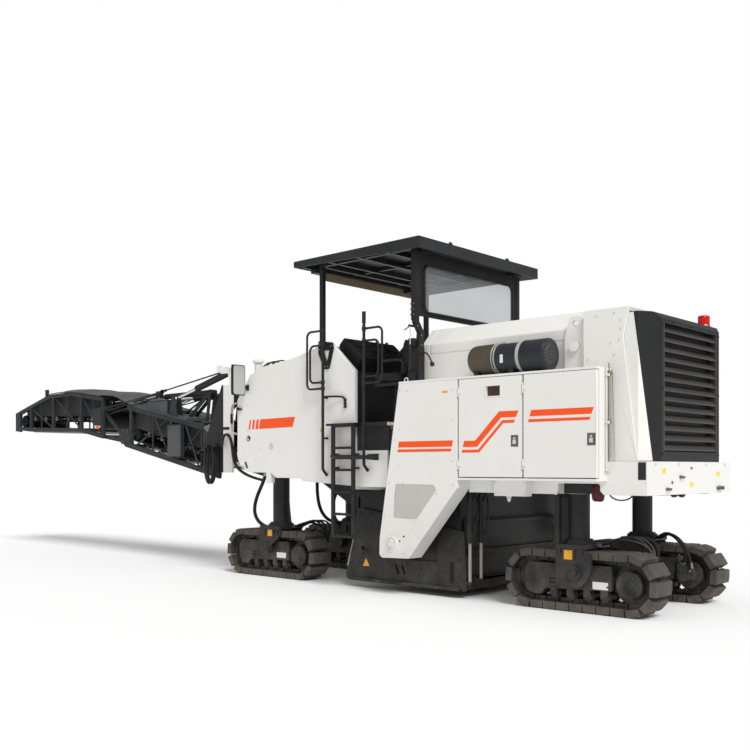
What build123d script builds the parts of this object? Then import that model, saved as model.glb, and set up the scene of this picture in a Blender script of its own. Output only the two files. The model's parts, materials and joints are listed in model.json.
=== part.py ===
from build123d import *
import os
from math import atan2, cos, degrees, hypot, pi, radians, sin

os.makedirs("parts", exist_ok=True)

# Cold planer milling machine. Millimetres. +X forward to the discharge conveyor, +Y left, +Z up, ground at z 0.
# Places along the machine are measured forward from its rear face, which lies at REAR.
REAR = -6847.5

# fits
SHAFT_CLEARANCE = 0.4  # radial, a column, shaft or pin in its sleeve
SEAT_GAP = 0.3  # between faces of pieces that move on each other
MOVING_GAP = 6  # between pieces that pass each other

# crawlers
TRACK_HEIGHT = 650
TRACK_LENGTH = 1810
TRACK_WIDTH = 350
TRACK_Y = 730
REAR_COLUMN = 932
FRONT_COLUMN = 5660
REAR_TRACK = 860
FRONT_TRACK = 5745
PAD_HEIGHT = 80
PAD_SEAT = 4
PAD_LENGTH = 148
PAD_CHAMFER = 14
PAD_COUNT = 24
CHAIN_THICKNESS = 45
CHAIN_HALF = 60
FRAME_HALF = 140
HUB_RADIUS = 150
HUB_FACE = 110
MOTOR_RADIUS = 95
MOTOR_END = 290
PIVOT_Z = 417
PIVOT_RADIUS = 77
YOKE_PLATE = 26
YOKE_TOP = 715
YOKE_CAP = 45
YOKE_OVERHANG = 16
COLLAR_RADIUS = 175
COLLAR_STEP = 24
COLUMN_RADIUS = 116
COLUMN_TOP = 2150
GUIDE_PLACE = 148
GUIDE_BAR = 60
GUIDE_TOP = 1238
ROLLER_RADIUS = 52
ROLLER_FLANGE = 66
ROLLER_PITCH = 200
ROLLER_COUNT = 4

# rear chassis
CHASSIS_HALF = 1030
CHASSIS_LOW = 1245
CHASSIS_TOP = 1585
CHASSIS_PLATE = 30
ARCH_REAR = 516
ARCH_FRONT = 1007
ARCH_TOP = 1360
BEAM_INNER = 450
BEAM_OUTER = 530
SLEEVE_WALL = 38

# side doors and engine cabinet
SIDE_HALF = 1250
DOOR_THICKNESS = 50
DOOR_LOW = 1420
DOOR_HIGH = 2505
CABINET_FRONT = 2170
CABINET_REAR = 430
LEDGE_TOP = 2535
LEDGE_PLATE = 25
LOUVRE_COUNT = 13

# hood
HOOD_HALF = 850
HOOD_SEAM = 2880
HOOD_CREASE = 3000
HOOD_TOP = 3200
HOOD_TOP_HALF = 660
HOOD_FRONT = 3000
HOOD_REAR = 765
HOOD_PLATE = 25
LID_FRONT = 2884
LID_REAR = 786
LID_HINGE = (2887, 3208)
LID_KNUCKLE = 8
HINGE_RADIUS = 7
HINGE_LEAF = 50
HINGE_HEIGHTS = (1560, 2370)
HINGE_REACH = 12

# front body
BODY_HALF = 1100
BODY_PLATE = 60
STATION_FRONT = 4450
FLOOR_TOP = 2080
FLOOR_PLATE = 40
BODY_FRONT = 6180

# drum and its housing
DRUM_X = 3200
DRUM_Z = 515
DRUM_RADIUS = 400
TOOL_REACH = 92
DRUM_LEFT = 800
DRUM_RIGHT = -1150
DRUM_ROWS = 8
TOOLS_PER_ROW = 17
DRUM_SHAFT = 110
HOUSING_WALL = 40
HOUSING_LOW = 330
HOUSING_TOP = 1235
HOUSING_REAR = 2420
HOUSING_FRONT = 3960

# conveyors
PRIMARY_HALF = 360
PRIMARY_DEPTH = 300
PRIMARY_TAIL = (3960, 800)
PRIMARY_HEAD = (6850, 2360)
SLEW_X = 7000
SLEW_LOW = 1540
SLEW_HIGH = 2780
SLEW_BEAM = 70
SLEW_PLATE = 30
SLEW_PIN = 60
BRACKET = 60
LIFT_PIVOT = (7450, 1750)
LIFT_PIN = 45
FOLD_PIVOT = (9870, 1975)
FOLD_PIN = 26
CONVEYOR_HALF = 540
CHORD = 80
TRUSS_WIDTH = 50
BELT_HALF = 430
BELT_LOOP = 240
BELT_THICKNESS = 14
PULLEY_SHAFT = 32
COVER_RISE = 70
COVER_SHEET = 10
COVER_JOINT = 14
MAST_EYE = (7090, 3000)
LIFT_EYE = (8520, 2640)
LIFT_Y = 450
FOLD_ROOT = (7760, 2720)
FOLD_EYE = (10640, 2700)
FOLD_Y = 300
EYE_WIDTH = 78
EYE_RADIUS = 42
EYE_PIN = 22
LUG_PLATE = 20

# canopy
CANOPY_REAR = 2714
CANOPY_FRONT = 4840
CANOPY_HALF = 1260
CANOPY_TOP = 4211
CANOPY_PLATE = 30
POST_Y = 1060
POST = 60


def side(y):
    # side view at this y: local x is the place from the rear face, local y is the height
    return Plane(origin=(REAR, y, 0), x_dir=(1, 0, 0), z_dir=(0, -1, 0))


def slab(points, y_low, y_high, mode=Mode.ADD, corners=()):
    # plate or solid from a side view outline; corners lists (x, z, radius) to round
    with BuildSketch(side(y_high)) as face:
        Polygon(*points, align=None)
        for x, z, radius in corners:
            near = face.vertices().sort_by_distance((x, z, 0))[0]
            fillet(near, radius)
    extrude(face.sketch, amount=y_high - y_low, mode=mode)


def block(x0, x1, y0, y1, z0, z1, mode=Mode.ADD):
    with Locations((REAR + (x0 + x1) / 2, (y0 + y1) / 2, (z0 + z1) / 2)):
        Box(abs(x1 - x0), abs(y1 - y0), abs(z1 - z0), mode=mode)


def rod(start, end, radius, mode=Mode.ADD):
    # round bar between two points given as (x from the rear, y, z)
    root = Vector(REAR + start[0], start[1], start[2])
    tip = Vector(REAR + end[0], end[1], end[2])
    with BuildSketch(Plane(origin=root, z_dir=tip - root)) as disc:
        Circle(radius)
    extrude(disc.sketch, amount=(tip - root).length, mode=mode)


def cross_rod(x, z, y0, y1, radius, mode=Mode.ADD):
    rod((x, y0, z), (x, y1, z), radius, mode)


def bar(points, y, width, height, mode=Mode.ADD):
    # flat bar along a side view line, height measured in the side view
    for (xa, za), (xb, zb) in zip(points, points[1:]):
        length = hypot(xb - xa, zb - za)
        nx, nz = -(zb - za) / length * height / 2, (xb - xa) / length * height / 2
        corners = [(xa + nx, za + nz), (xb + nx, zb + nz), (xb - nx, zb - nz), (xa - nx, za - nz)]
        slab(corners, y - width / 2, y + width / 2, mode)


def tube(plane, points, radius, bend):
    # round bar bent along a line in this plane
    with BuildLine(plane) as route:
        FilletPolyline(*points, radius=bend)
    with BuildSketch(Plane(origin=route.line @ 0, z_dir=route.line % 0)) as disc:
        Circle(radius)
    sweep(disc.sketch, path=route.line)


def across(x):
    # view along the machine at this place: local x is the side place, local y is the height
    return Plane(origin=(REAR + x, 0, 0), x_dir=(0, 1, 0), z_dir=(1, 0, 0))


def save(piece, name):
    piece.part.label = name
    export_step(piece.part, "parts/" + name + ".step")


LOOP_RADIUS = TRACK_HEIGHT / 2 - PAD_HEIGHT
LOOP_SPAN = TRACK_LENGTH - TRACK_HEIGHT
WHEEL_RADIUS = LOOP_RADIUS - CHAIN_THICKNESS - SEAT_GAP
AXLE_Z = TRACK_HEIGHT / 2
LOOP_LENGTH = 2 * LOOP_SPAN + 2 * pi * LOOP_RADIUS


def pad_place(distance):
    # point on the loop and the direction its pad faces, for a distance along the loop
    distance = distance % LOOP_LENGTH
    turn = pi * LOOP_RADIUS
    if distance < LOOP_SPAN:
        return distance - LOOP_SPAN / 2, LOOP_RADIUS, 90
    distance -= LOOP_SPAN
    if distance < turn:
        angle = 90 - degrees(distance / LOOP_RADIUS)
        return LOOP_SPAN / 2 + LOOP_RADIUS * cos(radians(angle)), LOOP_RADIUS * sin(radians(angle)), angle
    distance -= turn
    if distance < LOOP_SPAN:
        return LOOP_SPAN / 2 - distance, -LOOP_RADIUS, -90
    distance -= LOOP_SPAN
    angle = -90 - degrees(distance / LOOP_RADIUS)
    return -LOOP_SPAN / 2 + LOOP_RADIUS * cos(radians(angle)), LOOP_RADIUS * sin(radians(angle)), angle


# one pad with chamfered tread, facing along x, and the loop of chain and pads round the origin
with BuildPart() as pad:
    Box(PAD_HEIGHT + PAD_SEAT, TRACK_WIDTH, PAD_LENGTH)
    chamfer(pad.faces().sort_by(Axis.X)[-1].edges(), PAD_CHAMFER)

with BuildPart() as loop:
    with BuildSketch(Plane.XZ.offset(-CHAIN_HALF)) as chain:
        SlotCenterToCenter(LOOP_SPAN, 2 * LOOP_RADIUS)
        SlotCenterToCenter(LOOP_SPAN, 2 * (LOOP_RADIUS - CHAIN_THICKNESS), mode=Mode.SUBTRACT)
    extrude(chain.sketch, amount=2 * CHAIN_HALF)
    places = []
    for index in range(PAD_COUNT):
        x, z, facing = pad_place((index + 0.5) * LOOP_LENGTH / PAD_COUNT)
        out = PAD_HEIGHT / 2 - PAD_SEAT / 2
        x += out * cos(radians(facing))
        z += out * sin(radians(facing))
        places.append(Location((x, 0, z), (0, -facing, 0)))
    with Locations(*places):
        add(pad.part)
    with BuildSketch(Plane.XZ.offset(-TRACK_WIDTH / 2)) as envelope:
        SlotCenterToCenter(LOOP_SPAN, TRACK_HEIGHT)
    extrude(envelope.sketch, amount=TRACK_WIDTH, mode=Mode.INTERSECT)

# side view of the track frame from the middle of the track, and of the yokes' plates from their column
FRAME_OUTLINE = [(-385, 505), (-385, 250), (400, 225), (460, 160), (600, 160), (660, 240), (660, 420), (600, 497)]
FRAME_ROUNDS = [(600, 160, 40), (660, 240, 40), (660, 420, 50), (600, 497, 50)]
REAR_CAP = (-204, 162)
FRONT_CAP = (-204, 205)
REAR_YOKE = [(162, 690), (162, 300), (70, 250), (-110, 250), (-200, 330), (-264, 470), (-259, 586), (-154, 700)]
FRONT_YOKE = [(205, 690), (245, 600), (245, 420), (170, 320), (50, 320), (-10, 400), (-18, 453), (-204, 596), (-204, 690)]
# Crawlers: name, place of the column, middle of the track, side, ends of the yoke's cap, its plates' outline
CRAWLERS = [
    ("rear_left", REAR_COLUMN, REAR_TRACK, 1, REAR_CAP, REAR_YOKE),
    ("rear_right", REAR_COLUMN, REAR_TRACK, -1, REAR_CAP, REAR_YOKE),
    ("front_left", FRONT_COLUMN, FRONT_TRACK, 1, FRONT_CAP, FRONT_YOKE),
    ("front_right", FRONT_COLUMN, FRONT_TRACK, -1, FRONT_CAP, FRONT_YOKE),
]
for name, column, axle, hand, cap, yoke in CRAWLERS:
    middle = hand * TRACK_Y
    with BuildPart() as track:
        with Locations((REAR + axle, middle, AXLE_Z)):
            add(loop.part)
    save(track, "track_" + name)

    with BuildPart() as crawler:
        # frame inside the loop, closed round the idler at its front, with two slots for the tensioner
        rounds = [(axle + x, z, radius) for x, z, radius in FRAME_ROUNDS]
        slab([(axle + x, z) for x, z in FRAME_OUTLINE], middle - FRAME_HALF, middle + FRAME_HALF, corners=rounds)
        low, high = sorted((hand * (TRACK_Y + FRAME_HALF - 14), hand * (TRACK_Y + FRAME_HALF + 5)))
        for z in (285, 325):
            block(axle + 270, axle + 350, low, high, z, z + 20, Mode.SUBTRACT)
        # idler and sprocket, the sprocket's hub outside and its hydraulic motor inside
        for end in (-1, 1):
            cross_rod(axle + end * LOOP_SPAN / 2, AXLE_Z, middle - CHAIN_HALF + 2, middle + CHAIN_HALF - 2, WHEEL_RADIUS)
        hub = axle - LOOP_SPAN / 2
        cross_rod(hub, AXLE_Z, middle, middle + hand * HUB_FACE, HUB_RADIUS)
        cross_rod(hub, AXLE_Z, middle, middle - hand * TRACK_WIDTH / 2, HUB_RADIUS)
        cross_rod(hub, AXLE_Z, middle, middle - hand * MOTOR_END, MOTOR_RADIUS)
        block(hub, axle - 380, middle - 50, middle + 50, AXLE_Z - 90, AXLE_Z + 90)
        # rollers with flanges beside the chain, on brackets below the frame
        roller_z = PAD_HEIGHT + CHAIN_THICKNESS + SEAT_GAP + ROLLER_RADIUS
        for index in range(ROLLER_COUNT):
            x = axle + (index - (ROLLER_COUNT - 1) / 2) * ROLLER_PITCH
            cross_rod(x, roller_z, middle - FRAME_HALF + 20, middle + FRAME_HALF - 20, ROLLER_RADIUS)
            for out in (-1, 1):
                near = middle + out * (CHAIN_HALF + 6)
                cross_rod(x, roller_z, near, near + out * 26, ROLLER_FLANGE)
                low, high = sorted((middle + out * (FRAME_HALF - 20), middle + out * FRAME_HALF))
                block(x - 40, x + 40, low, high, roller_z - 10, 260)
        # yoke over the track, pivoted on the frame, with the column that it turns with
        reach = TRACK_WIDTH / 2 + MOVING_GAP + YOKE_PLATE
        for out in (-1, 1):
            low, high = sorted((middle + out * (reach - YOKE_PLATE), middle + out * reach))
            slab([(column + x, z) for x, z in yoke], low, high)
            low, high = sorted((middle + out * reach, middle + out * (reach + YOKE_OVERHANG)))
            slab([(column - 75, YOKE_TOP - 20), (column - 75, 560), (column - 57, 560), (column - 57, YOKE_TOP - 20)], low, high)
        edge = reach + YOKE_OVERHANG
        block(column + cap[0], column + cap[1], middle - edge, middle + edge, YOKE_TOP - YOKE_CAP, YOKE_TOP)
        cross_rod(axle, PIVOT_Z, middle - edge, middle + edge, PIVOT_RADIUS)
        rod((column, middle, YOKE_TOP - YOKE_CAP / 2), (column, middle, COLUMN_TOP), COLUMN_RADIUS)
        rod((column, middle, YOKE_TOP - 5), (column, middle, YOKE_TOP + COLLAR_STEP), COLLAR_RADIUS)
        rod((column, middle, YOKE_TOP), (column, middle, YOKE_TOP + 2 * COLLAR_STEP), COLLAR_RADIUS - COLLAR_STEP)
        if cap == REAR_CAP:
            # guide bar beside the column, webbed to it
            x = column + GUIDE_PLACE
            y = TRACK_Y + reach - GUIDE_BAR / 2
            low, high = sorted((hand * (y - GUIDE_BAR / 2), hand * (y + GUIDE_BAR / 2)))
            block(x - GUIDE_BAR / 2, x + GUIDE_BAR / 2, low, high, YOKE_TOP - 10, GUIDE_TOP)
            with BuildSketch(Plane.XY.offset(YOKE_TOP - 5)) as web:
                with Locations((REAR + column + GUIDE_PLACE / 2, hand * (TRACK_Y + y) / 2)):
                    angle = degrees(atan2(hand * (y - TRACK_Y), GUIDE_PLACE))
                    Rectangle(hypot(GUIDE_PLACE, y - TRACK_Y), 18, rotation=angle)
            extrude(web.sketch, amount=GUIDE_TOP - 30 - YOKE_TOP)
    save(crawler, "crawler_" + name)

# Main frame: rear chassis with arches, long beams, leg sleeves and the small tank under the left side
with BuildPart() as main_frame:
    for hand in (-1, 1):
        low, high = sorted((hand * CHASSIS_HALF, hand * (CHASSIS_HALF - CHASSIS_PLATE)))
        slab(
            [
                (0, CHASSIS_LOW),
                (0, CHASSIS_TOP),
                (CABINET_FRONT, CHASSIS_TOP),
                (CABINET_FRONT, CHASSIS_LOW),
                (ARCH_FRONT + 40, CHASSIS_LOW),
                (ARCH_FRONT, CHASSIS_LOW + 40),
                (ARCH_FRONT, ARCH_TOP),
                (ARCH_REAR, ARCH_TOP),
                (ARCH_REAR, CHASSIS_LOW + 40),
                (ARCH_REAR - 40, CHASSIS_LOW),
            ],
            low,
            high,
        )
        low, high = sorted((hand * BEAM_INNER, hand * BEAM_OUTER))
        block(CHASSIS_PLATE, STATION_FRONT, low, high, HOUSING_TOP, CHASSIS_TOP - CHASSIS_PLATE)
        # side rails below the platform
        low, high = sorted((hand * (BODY_HALF - CHASSIS_PLATE), hand * BODY_HALF))
        block(3345, 3884, low, high, 1285, 1735)
        low, high = sorted((hand * BEAM_OUTER, hand * (BODY_HALF - CHASSIS_PLATE)))
        for x in (3500, 3780):
            block(x, x + 60, low, high, 1300, 1500)
    block(0, CHASSIS_PLATE, -CHASSIS_HALF, CHASSIS_HALF, CHASSIS_LOW, CHASSIS_TOP)
    block(0, CABINET_FRONT, -CHASSIS_HALF, CHASSIS_HALF, CHASSIS_TOP - CHASSIS_PLATE, CHASSIS_TOP)
    for x in (330, 1500, 2108):
        block(x, x + 60, -CHASSIS_HALF, CHASSIS_HALF, CHASSIS_LOW + 115, CHASSIS_TOP)
    for x in (2400, 3300):
        block(x, x + 60, -BEAM_INNER, BEAM_INNER, 1300, 1500)
    for hand in (-1, 1):
        middle = hand * TRACK_Y
        rod((REAR_COLUMN, middle, CHASSIS_LOW), (REAR_COLUMN, middle, COLUMN_TOP + 40), COLUMN_RADIUS + SLEEVE_WALL)
    for hand in (-1, 1):
        middle = hand * TRACK_Y
        bore = COLUMN_RADIUS + SHAFT_CLEARANCE
        rod((REAR_COLUMN, middle, CHASSIS_LOW - 10), (REAR_COLUMN, middle, COLUMN_TOP + 10), bore, Mode.SUBTRACT)
    block(1330, 1740, CHASSIS_HALF, 1150, 1215, 1385)
    # platform floor between the engine bulkhead and the front wall, on posts from the beams
    inner = BODY_HALF - BODY_PLATE
    block(HOOD_FRONT + 34, 3345, -1000, 1000, FLOOR_TOP - FLOOR_PLATE, FLOOR_TOP)
    block(3345, STATION_FRONT, -inner, inner, FLOOR_TOP - FLOOR_PLATE, FLOOR_TOP)
    for hand in (-1, 1):
        low, high = sorted((hand * inner, hand * BODY_HALF))
        block(3345, 3884, low, high, FLOOR_TOP - FLOOR_PLATE, FLOOR_TOP)
        low, high = sorted((hand * BEAM_OUTER, hand * BEAM_INNER))
        for x in (3100, 4300):
            block(x, x + 60, low, high, CHASSIS_TOP - CHASSIS_PLATE, FLOOR_TOP - FLOOR_PLATE)
save(main_frame, "main_frame")

# Front body: tanks on both sides of the primary conveyor, with side panels back to the platform's steps
BODY_OUTLINE = [
    (BODY_FRONT, 1456),
    (BODY_FRONT, 2480),
    (5900, 2815),
    (5650, 2908),
    (5080, 2975),
    (4890, 3013),
    (4325, 3147),
    (3890, 2745),
    (3890, 1290),
    (4470, 1325),
    (4850, 1350),
    (4890, 1385),
    (5360, 1385),
    (5480, 1456),
]
SLOPE = atan2(PRIMARY_HEAD[1] - PRIMARY_TAIL[1], PRIMARY_HEAD[0] - PRIMARY_TAIL[0])


def primary_line(x, offset):
    # height of the line at this offset above the primary conveyor's middle line
    return PRIMARY_TAIL[1] + (x - PRIMARY_TAIL[0]) * sin(SLOPE) / cos(SLOPE) + offset / cos(SLOPE)


with BuildPart() as front_body:
    slab(BODY_OUTLINE, -BODY_HALF, BODY_HALF, corners=[(BODY_FRONT, 1456, 300)])
    inner = BODY_HALF - BODY_PLATE
    block(3800, STATION_FRONT, -inner, inner, 1200, 3300, Mode.SUBTRACT)
    ceiling = PRIMARY_DEPTH / 2 + 60
    slab(
        [
            (STATION_FRONT - 10, 1200),
            (STATION_FRONT - 10, primary_line(STATION_FRONT - 10, ceiling)),
            (BODY_FRONT + 10, primary_line(BODY_FRONT + 10, ceiling)),
            (BODY_FRONT + 10, 1200),
        ],
        -PRIMARY_HALF - 60,
        PRIMARY_HALF + 60,
        Mode.SUBTRACT,
    )
    for hand in (-1, 1):
        middle = hand * TRACK_Y
        bore = COLUMN_RADIUS + SHAFT_CLEARANCE
        rod((FRONT_COLUMN, middle, 1300), (FRONT_COLUMN, middle, COLUMN_TOP + 10), bore, Mode.SUBTRACT)
    # lashing holes and slots in the tanks' sides
    for hand in (-1, 1):
        for x, z in ((5920, 1937), (5460, 1820)):
            cross_rod(x, z, hand * (BODY_HALF - 30), hand * (BODY_HALF + 10), 24, Mode.SUBTRACT)
        bar([(6000, 1595), (5965, 1520)], hand * (BODY_HALF - 10), 40, 26, Mode.SUBTRACT)
    # tongues that hold the slewing frame's pins, below and above the primary conveyor
    for z, base in ((SLEW_LOW - BRACKET - SEAT_GAP, 460), (SLEW_HIGH + SEAT_GAP, 300)):
        with BuildSketch(Plane.XY.offset(z)) as tongue:
            Polygon(
                (REAR + BODY_FRONT - 400, -base),
                (REAR + BODY_FRONT - 60, -base),
                (REAR + SLEW_X, -120),
                (REAR + SLEW_X, 120),
                (REAR + BODY_FRONT - 60, base),
                (REAR + BODY_FRONT - 400, base),
                align=None,
            )
            with Locations((REAR + SLEW_X, 0)):
                Circle(120)
                Circle(SLEW_PIN + SHAFT_CLEARANCE, mode=Mode.SUBTRACT)
        extrude(tongue.sketch, amount=BRACKET)
save(front_body, "front_body")

# Engine cabinet: pillars, sills, ledges and the bulkhead to the platform
with BuildPart() as cabinet:
    back = SIDE_HALF - DOOR_THICKNESS - MOVING_GAP
    for hand in (-1, 1):
        low, high = sorted((hand * (HOOD_HALF - 60), hand * SIDE_HALF))
        block(CABINET_REAR, HOOD_FRONT + 34, low, high, LEDGE_TOP - LEDGE_PLATE, LEDGE_TOP)
        low, high = sorted((hand * CHASSIS_HALF, hand * SIDE_HALF))
        block(CABINET_REAR, CABINET_FRONT, low, high, DOOR_LOW - 35, DOOR_LOW - 10)
        low, high = sorted((hand * CHASSIS_HALF, hand * back))
        for x0, x1 in ((CABINET_REAR, CABINET_REAR + 40), (1275, 1335), (CABINET_FRONT - 60, CABINET_FRONT - 25)):
            block(x0, x1, low, high, DOOR_LOW - 10, LEDGE_TOP - LEDGE_PLATE)
        # fixed hinge knuckles above and below each door's own
        for front in (1291, CABINET_FRONT - 24):
            for z in HINGE_HEIGHTS:
                for z0 in (z - HINGE_LEAF / 2 - SEAT_GAP - 30, z + HINGE_LEAF / 2 + SEAT_GAP):
                    x = front + HINGE_REACH
                    rod((x, hand * SIDE_HALF, z0), (x, hand * SIDE_HALF, z0 + 30), HINGE_RADIUS)
                    low, high = sorted((hand * (back - 20), hand * SIDE_HALF))
                    block(x - 4, x + 4, low, high, z0, z0 + 30)
                    low, high = sorted((hand * (back - 20), hand * back))
                    block(x - 40, x + 4, low, high, z0, z0 + 30)
    block(HOOD_FRONT + 4, HOOD_FRONT + 34, -1000, 1000, CHASSIS_TOP, LEDGE_TOP - LEDGE_PLATE)
    block(HOOD_FRONT + 4, HOOD_FRONT + 34, -HOOD_HALF, HOOD_HALF, LEDGE_TOP - LEDGE_PLATE, HOOD_SEAM - 6)
save(cabinet, "engine_cabinet")

# Side covers: the left one reaches down over the belt drive, the right one ends above the drum's side plate
COVERS = [
    (
        "belt_cover",
        1,
        [(3034, 2510), (CABINET_FRONT, 2510), (CABINET_FRONT, 1296), (2882, 459), (3342, 445), (3336, 679)],
        [(3342, 445, 60)],
    ),
    (
        "side_cover_right",
        -1,
        [(3034, 2510), (CABINET_FRONT, 2510), (CABINET_FRONT, 1390), (3215, 1390)],
        [],
    ),
]
COVER_DEPTH = 245
COVER_PLATE = 20
VENT = [(3083, 1330), (2514, 1326), (2470, 1269), (2766, 928), (3121, 927)]
VENT_DEPTH = 8
for name, hand, outline, rounds in COVERS:
    with BuildPart() as cover:
        low, high = sorted((hand * SIDE_HALF, hand * (SIDE_HALF - COVER_DEPTH)))
        slab(outline, low, high, corners=rounds)
        low, high = sorted((hand * (SIDE_HALF - COVER_PLATE), hand * (SIDE_HALF - COVER_DEPTH - 10)))
        with BuildSketch(side(high)) as hole:
            Polygon(*outline, align=None)
            offset(amount=-COVER_PLATE, kind=Kind.INTERSECTION)
        extrude(hole.sketch, amount=high - low, mode=Mode.SUBTRACT)
        if hand == 1:
            slab(VENT, SIDE_HALF - VENT_DEPTH, SIDE_HALF + 5, Mode.SUBTRACT, [(3083, 1330, 25), (3121, 927, 25)])
            cross_rod(3150, 620, SIDE_HALF - 5, SIDE_HALF + 10, 62)
            cross_rod(3150, 620, SIDE_HALF, SIDE_HALF + 18, 36)
            cross_rod(3020, 655, SIDE_HALF - COVER_PLATE - 5, SIDE_HALF + 5, 15, Mode.SUBTRACT)
    save(cover, name)

# Doors: name, rear edge, front edge (hinged), rear edge of the latch, side
DOORS = [
    ("door_front_left", 1316, CABINET_FRONT - 24, 1360, 1),
    ("door_rear_left", 436, 1291, 446, 1),
    ("door_front_right", 1316, CABINET_FRONT - 24, 1360, -1),
    ("door_rear_right", 436, 1291, 446, -1),
]
for name, rear, front, latch, hand in DOORS:
    with BuildPart() as door:
        low, high = sorted((hand * SIDE_HALF, hand * (SIDE_HALF - DOOR_THICKNESS)))
        block(rear, front, low, high, DOOR_LOW, DOOR_HIGH)
        for z in HINGE_HEIGHTS:
            x = front + HINGE_REACH
            leaf = HINGE_LEAF / 2
            rod((x, hand * SIDE_HALF, z - leaf), (x, hand * SIDE_HALF, z + leaf), HINGE_RADIUS)
            low, high = sorted((hand * (SIDE_HALF - 5), hand * (SIDE_HALF + HINGE_RADIUS)))
            block(front - 30, x, low, high, z - leaf, z + leaf)
        low, high = sorted((hand * SIDE_HALF, hand * (SIDE_HALF - DOOR_THICKNESS)))
        # latch pocket
        face_low, face_high = sorted((hand * (SIDE_HALF - 12), hand * (SIDE_HALF + 5)))
        block(latch, latch + 98, face_low, face_high, 1745, 1872, Mode.SUBTRACT)
        if name.startswith("door_front"):
            # small sight window
            block(1590, 1774, low - 5, high + 5, 2300, 2410, Mode.SUBTRACT)
    save(door, name)

# Hood: fixed sides below the seam with a cowl at the front, lid above the seam
def hood_profile(drop):
    return [
        (-HOOD_HALF + drop, HOOD_SEAM),
        (-HOOD_HALF + drop, HOOD_CREASE - drop * 0.4),
        (-HOOD_TOP_HALF + drop * 0.4, HOOD_TOP - drop),
        (HOOD_TOP_HALF - drop * 0.4, HOOD_TOP - drop),
        (HOOD_HALF - drop, HOOD_CREASE - drop * 0.4),
        (HOOD_HALF - drop, HOOD_SEAM),
    ]


def hood_shell(rear, front):
    with BuildSketch(Plane.YZ.offset(REAR + rear)) as outer:
        Polygon(*hood_profile(0), align=None)
    extrude(outer.sketch, amount=front - rear)
    with BuildSketch(Plane.YZ.offset(REAR + rear + HOOD_PLATE)) as inner:
        Polygon(*hood_profile(HOOD_PLATE), align=None)
    extrude(inner.sketch, amount=front - rear - 2 * HOOD_PLATE, mode=Mode.SUBTRACT)


def lid_hinge(way, *spans):
    # knuckles on the lid's tilting axis, with leaves towards the piece that carries them
    x, z = LID_HINGE
    for hand in (-1, 1):
        for near, far in spans:
            low, high = sorted((hand * near, hand * far))
            cross_rod(x, z, low, high, LID_KNUCKLE)
            x0, x1 = sorted((x, x + way * 30))
            block(x0, x1, low, high, HOOD_TOP - 2, HOOD_TOP + 4)


with BuildPart() as hood:
    hood_shell(LID_FRONT + MOVING_GAP, HOOD_FRONT)
    for hand in (-1, 1):
        low, high = sorted((hand * HOOD_HALF, hand * (HOOD_HALF - HOOD_PLATE)))
        block(HOOD_REAR, HOOD_FRONT, low, high, LEDGE_TOP, HOOD_SEAM - SEAT_GAP)
        block(LID_FRONT + MOVING_GAP, HOOD_FRONT, low, high, LEDGE_TOP, HOOD_SEAM + 20)
    block(HOOD_REAR, HOOD_REAR + HOOD_PLATE, -HOOD_HALF, HOOD_HALF, LEDGE_TOP, HOOD_SEAM - SEAT_GAP)
    lid_hinge(1, (380, 420 - SEAT_GAP), (500 + SEAT_GAP, 540))
save(hood, "hood_sides")

with BuildPart() as lid:
    hood_shell(LID_REAR, LID_FRONT)
    lid_hinge(-1, (420, 500))
save(lid, "hood_lid")

# Rear body behind the hood, with the lifting lugs beside the lid
LIFTING_X = 880
LIFTING_Z = 3040
LIFTING_BORE = 38
LIFTING_PLATE = 36
COOLER_LOW = 1590
COOLER_HIGH = 3095
with BuildPart() as rear_body:
    slab(
        [
            (150, COOLER_LOW),
            (150, CHASSIS_TOP),
            (395, CHASSIS_TOP),
            (425, LEDGE_TOP),
            (755, LEDGE_TOP),
            (755, 3150),
            (240, 3150),
            (245, COOLER_HIGH),
            (300, 2850),
        ],
        -950,
        950,
        corners=[(755, 3150, 30)],
    )
    slab(
        [(130, CHASSIS_TOP - 1), (130, COOLER_LOW), (280, 2850), (225, 3100), (300, 3120), (770, 3120), (770, CHASSIS_TOP - 1)],
        -920,
        920,
        Mode.SUBTRACT,
    )
save(rear_body, "rear_body")

with BuildPart() as lugs:
    LUG_X = LIFTING_X
    LUG_Z = LIFTING_Z
    for hand in (-1, 1):
        low, high = sorted((hand * (HOOD_HALF + 8), hand * (HOOD_HALF + 8 + LIFTING_PLATE)))
        slab(
            [(LUG_X - 130, LEDGE_TOP), (LUG_X - 130, 2900), (LUG_X - 70, 3120), (LUG_X + 70, 3120), (LUG_X + 130, 2900), (LUG_X + 130, LEDGE_TOP)],
            low,
            high,
            corners=[(LUG_X - 70, 3120, 50), (LUG_X + 70, 3120, 50)],
        )
        cross_rod(LUG_X, 2800, hand * (HOOD_HALF + 8), hand * (HOOD_HALF + 85), 55)
    cross_rod(LUG_X, LUG_Z, -HOOD_HALF - 100, HOOD_HALF + 100, LIFTING_BORE, Mode.SUBTRACT)
save(lugs, "lifting_lugs")

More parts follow.
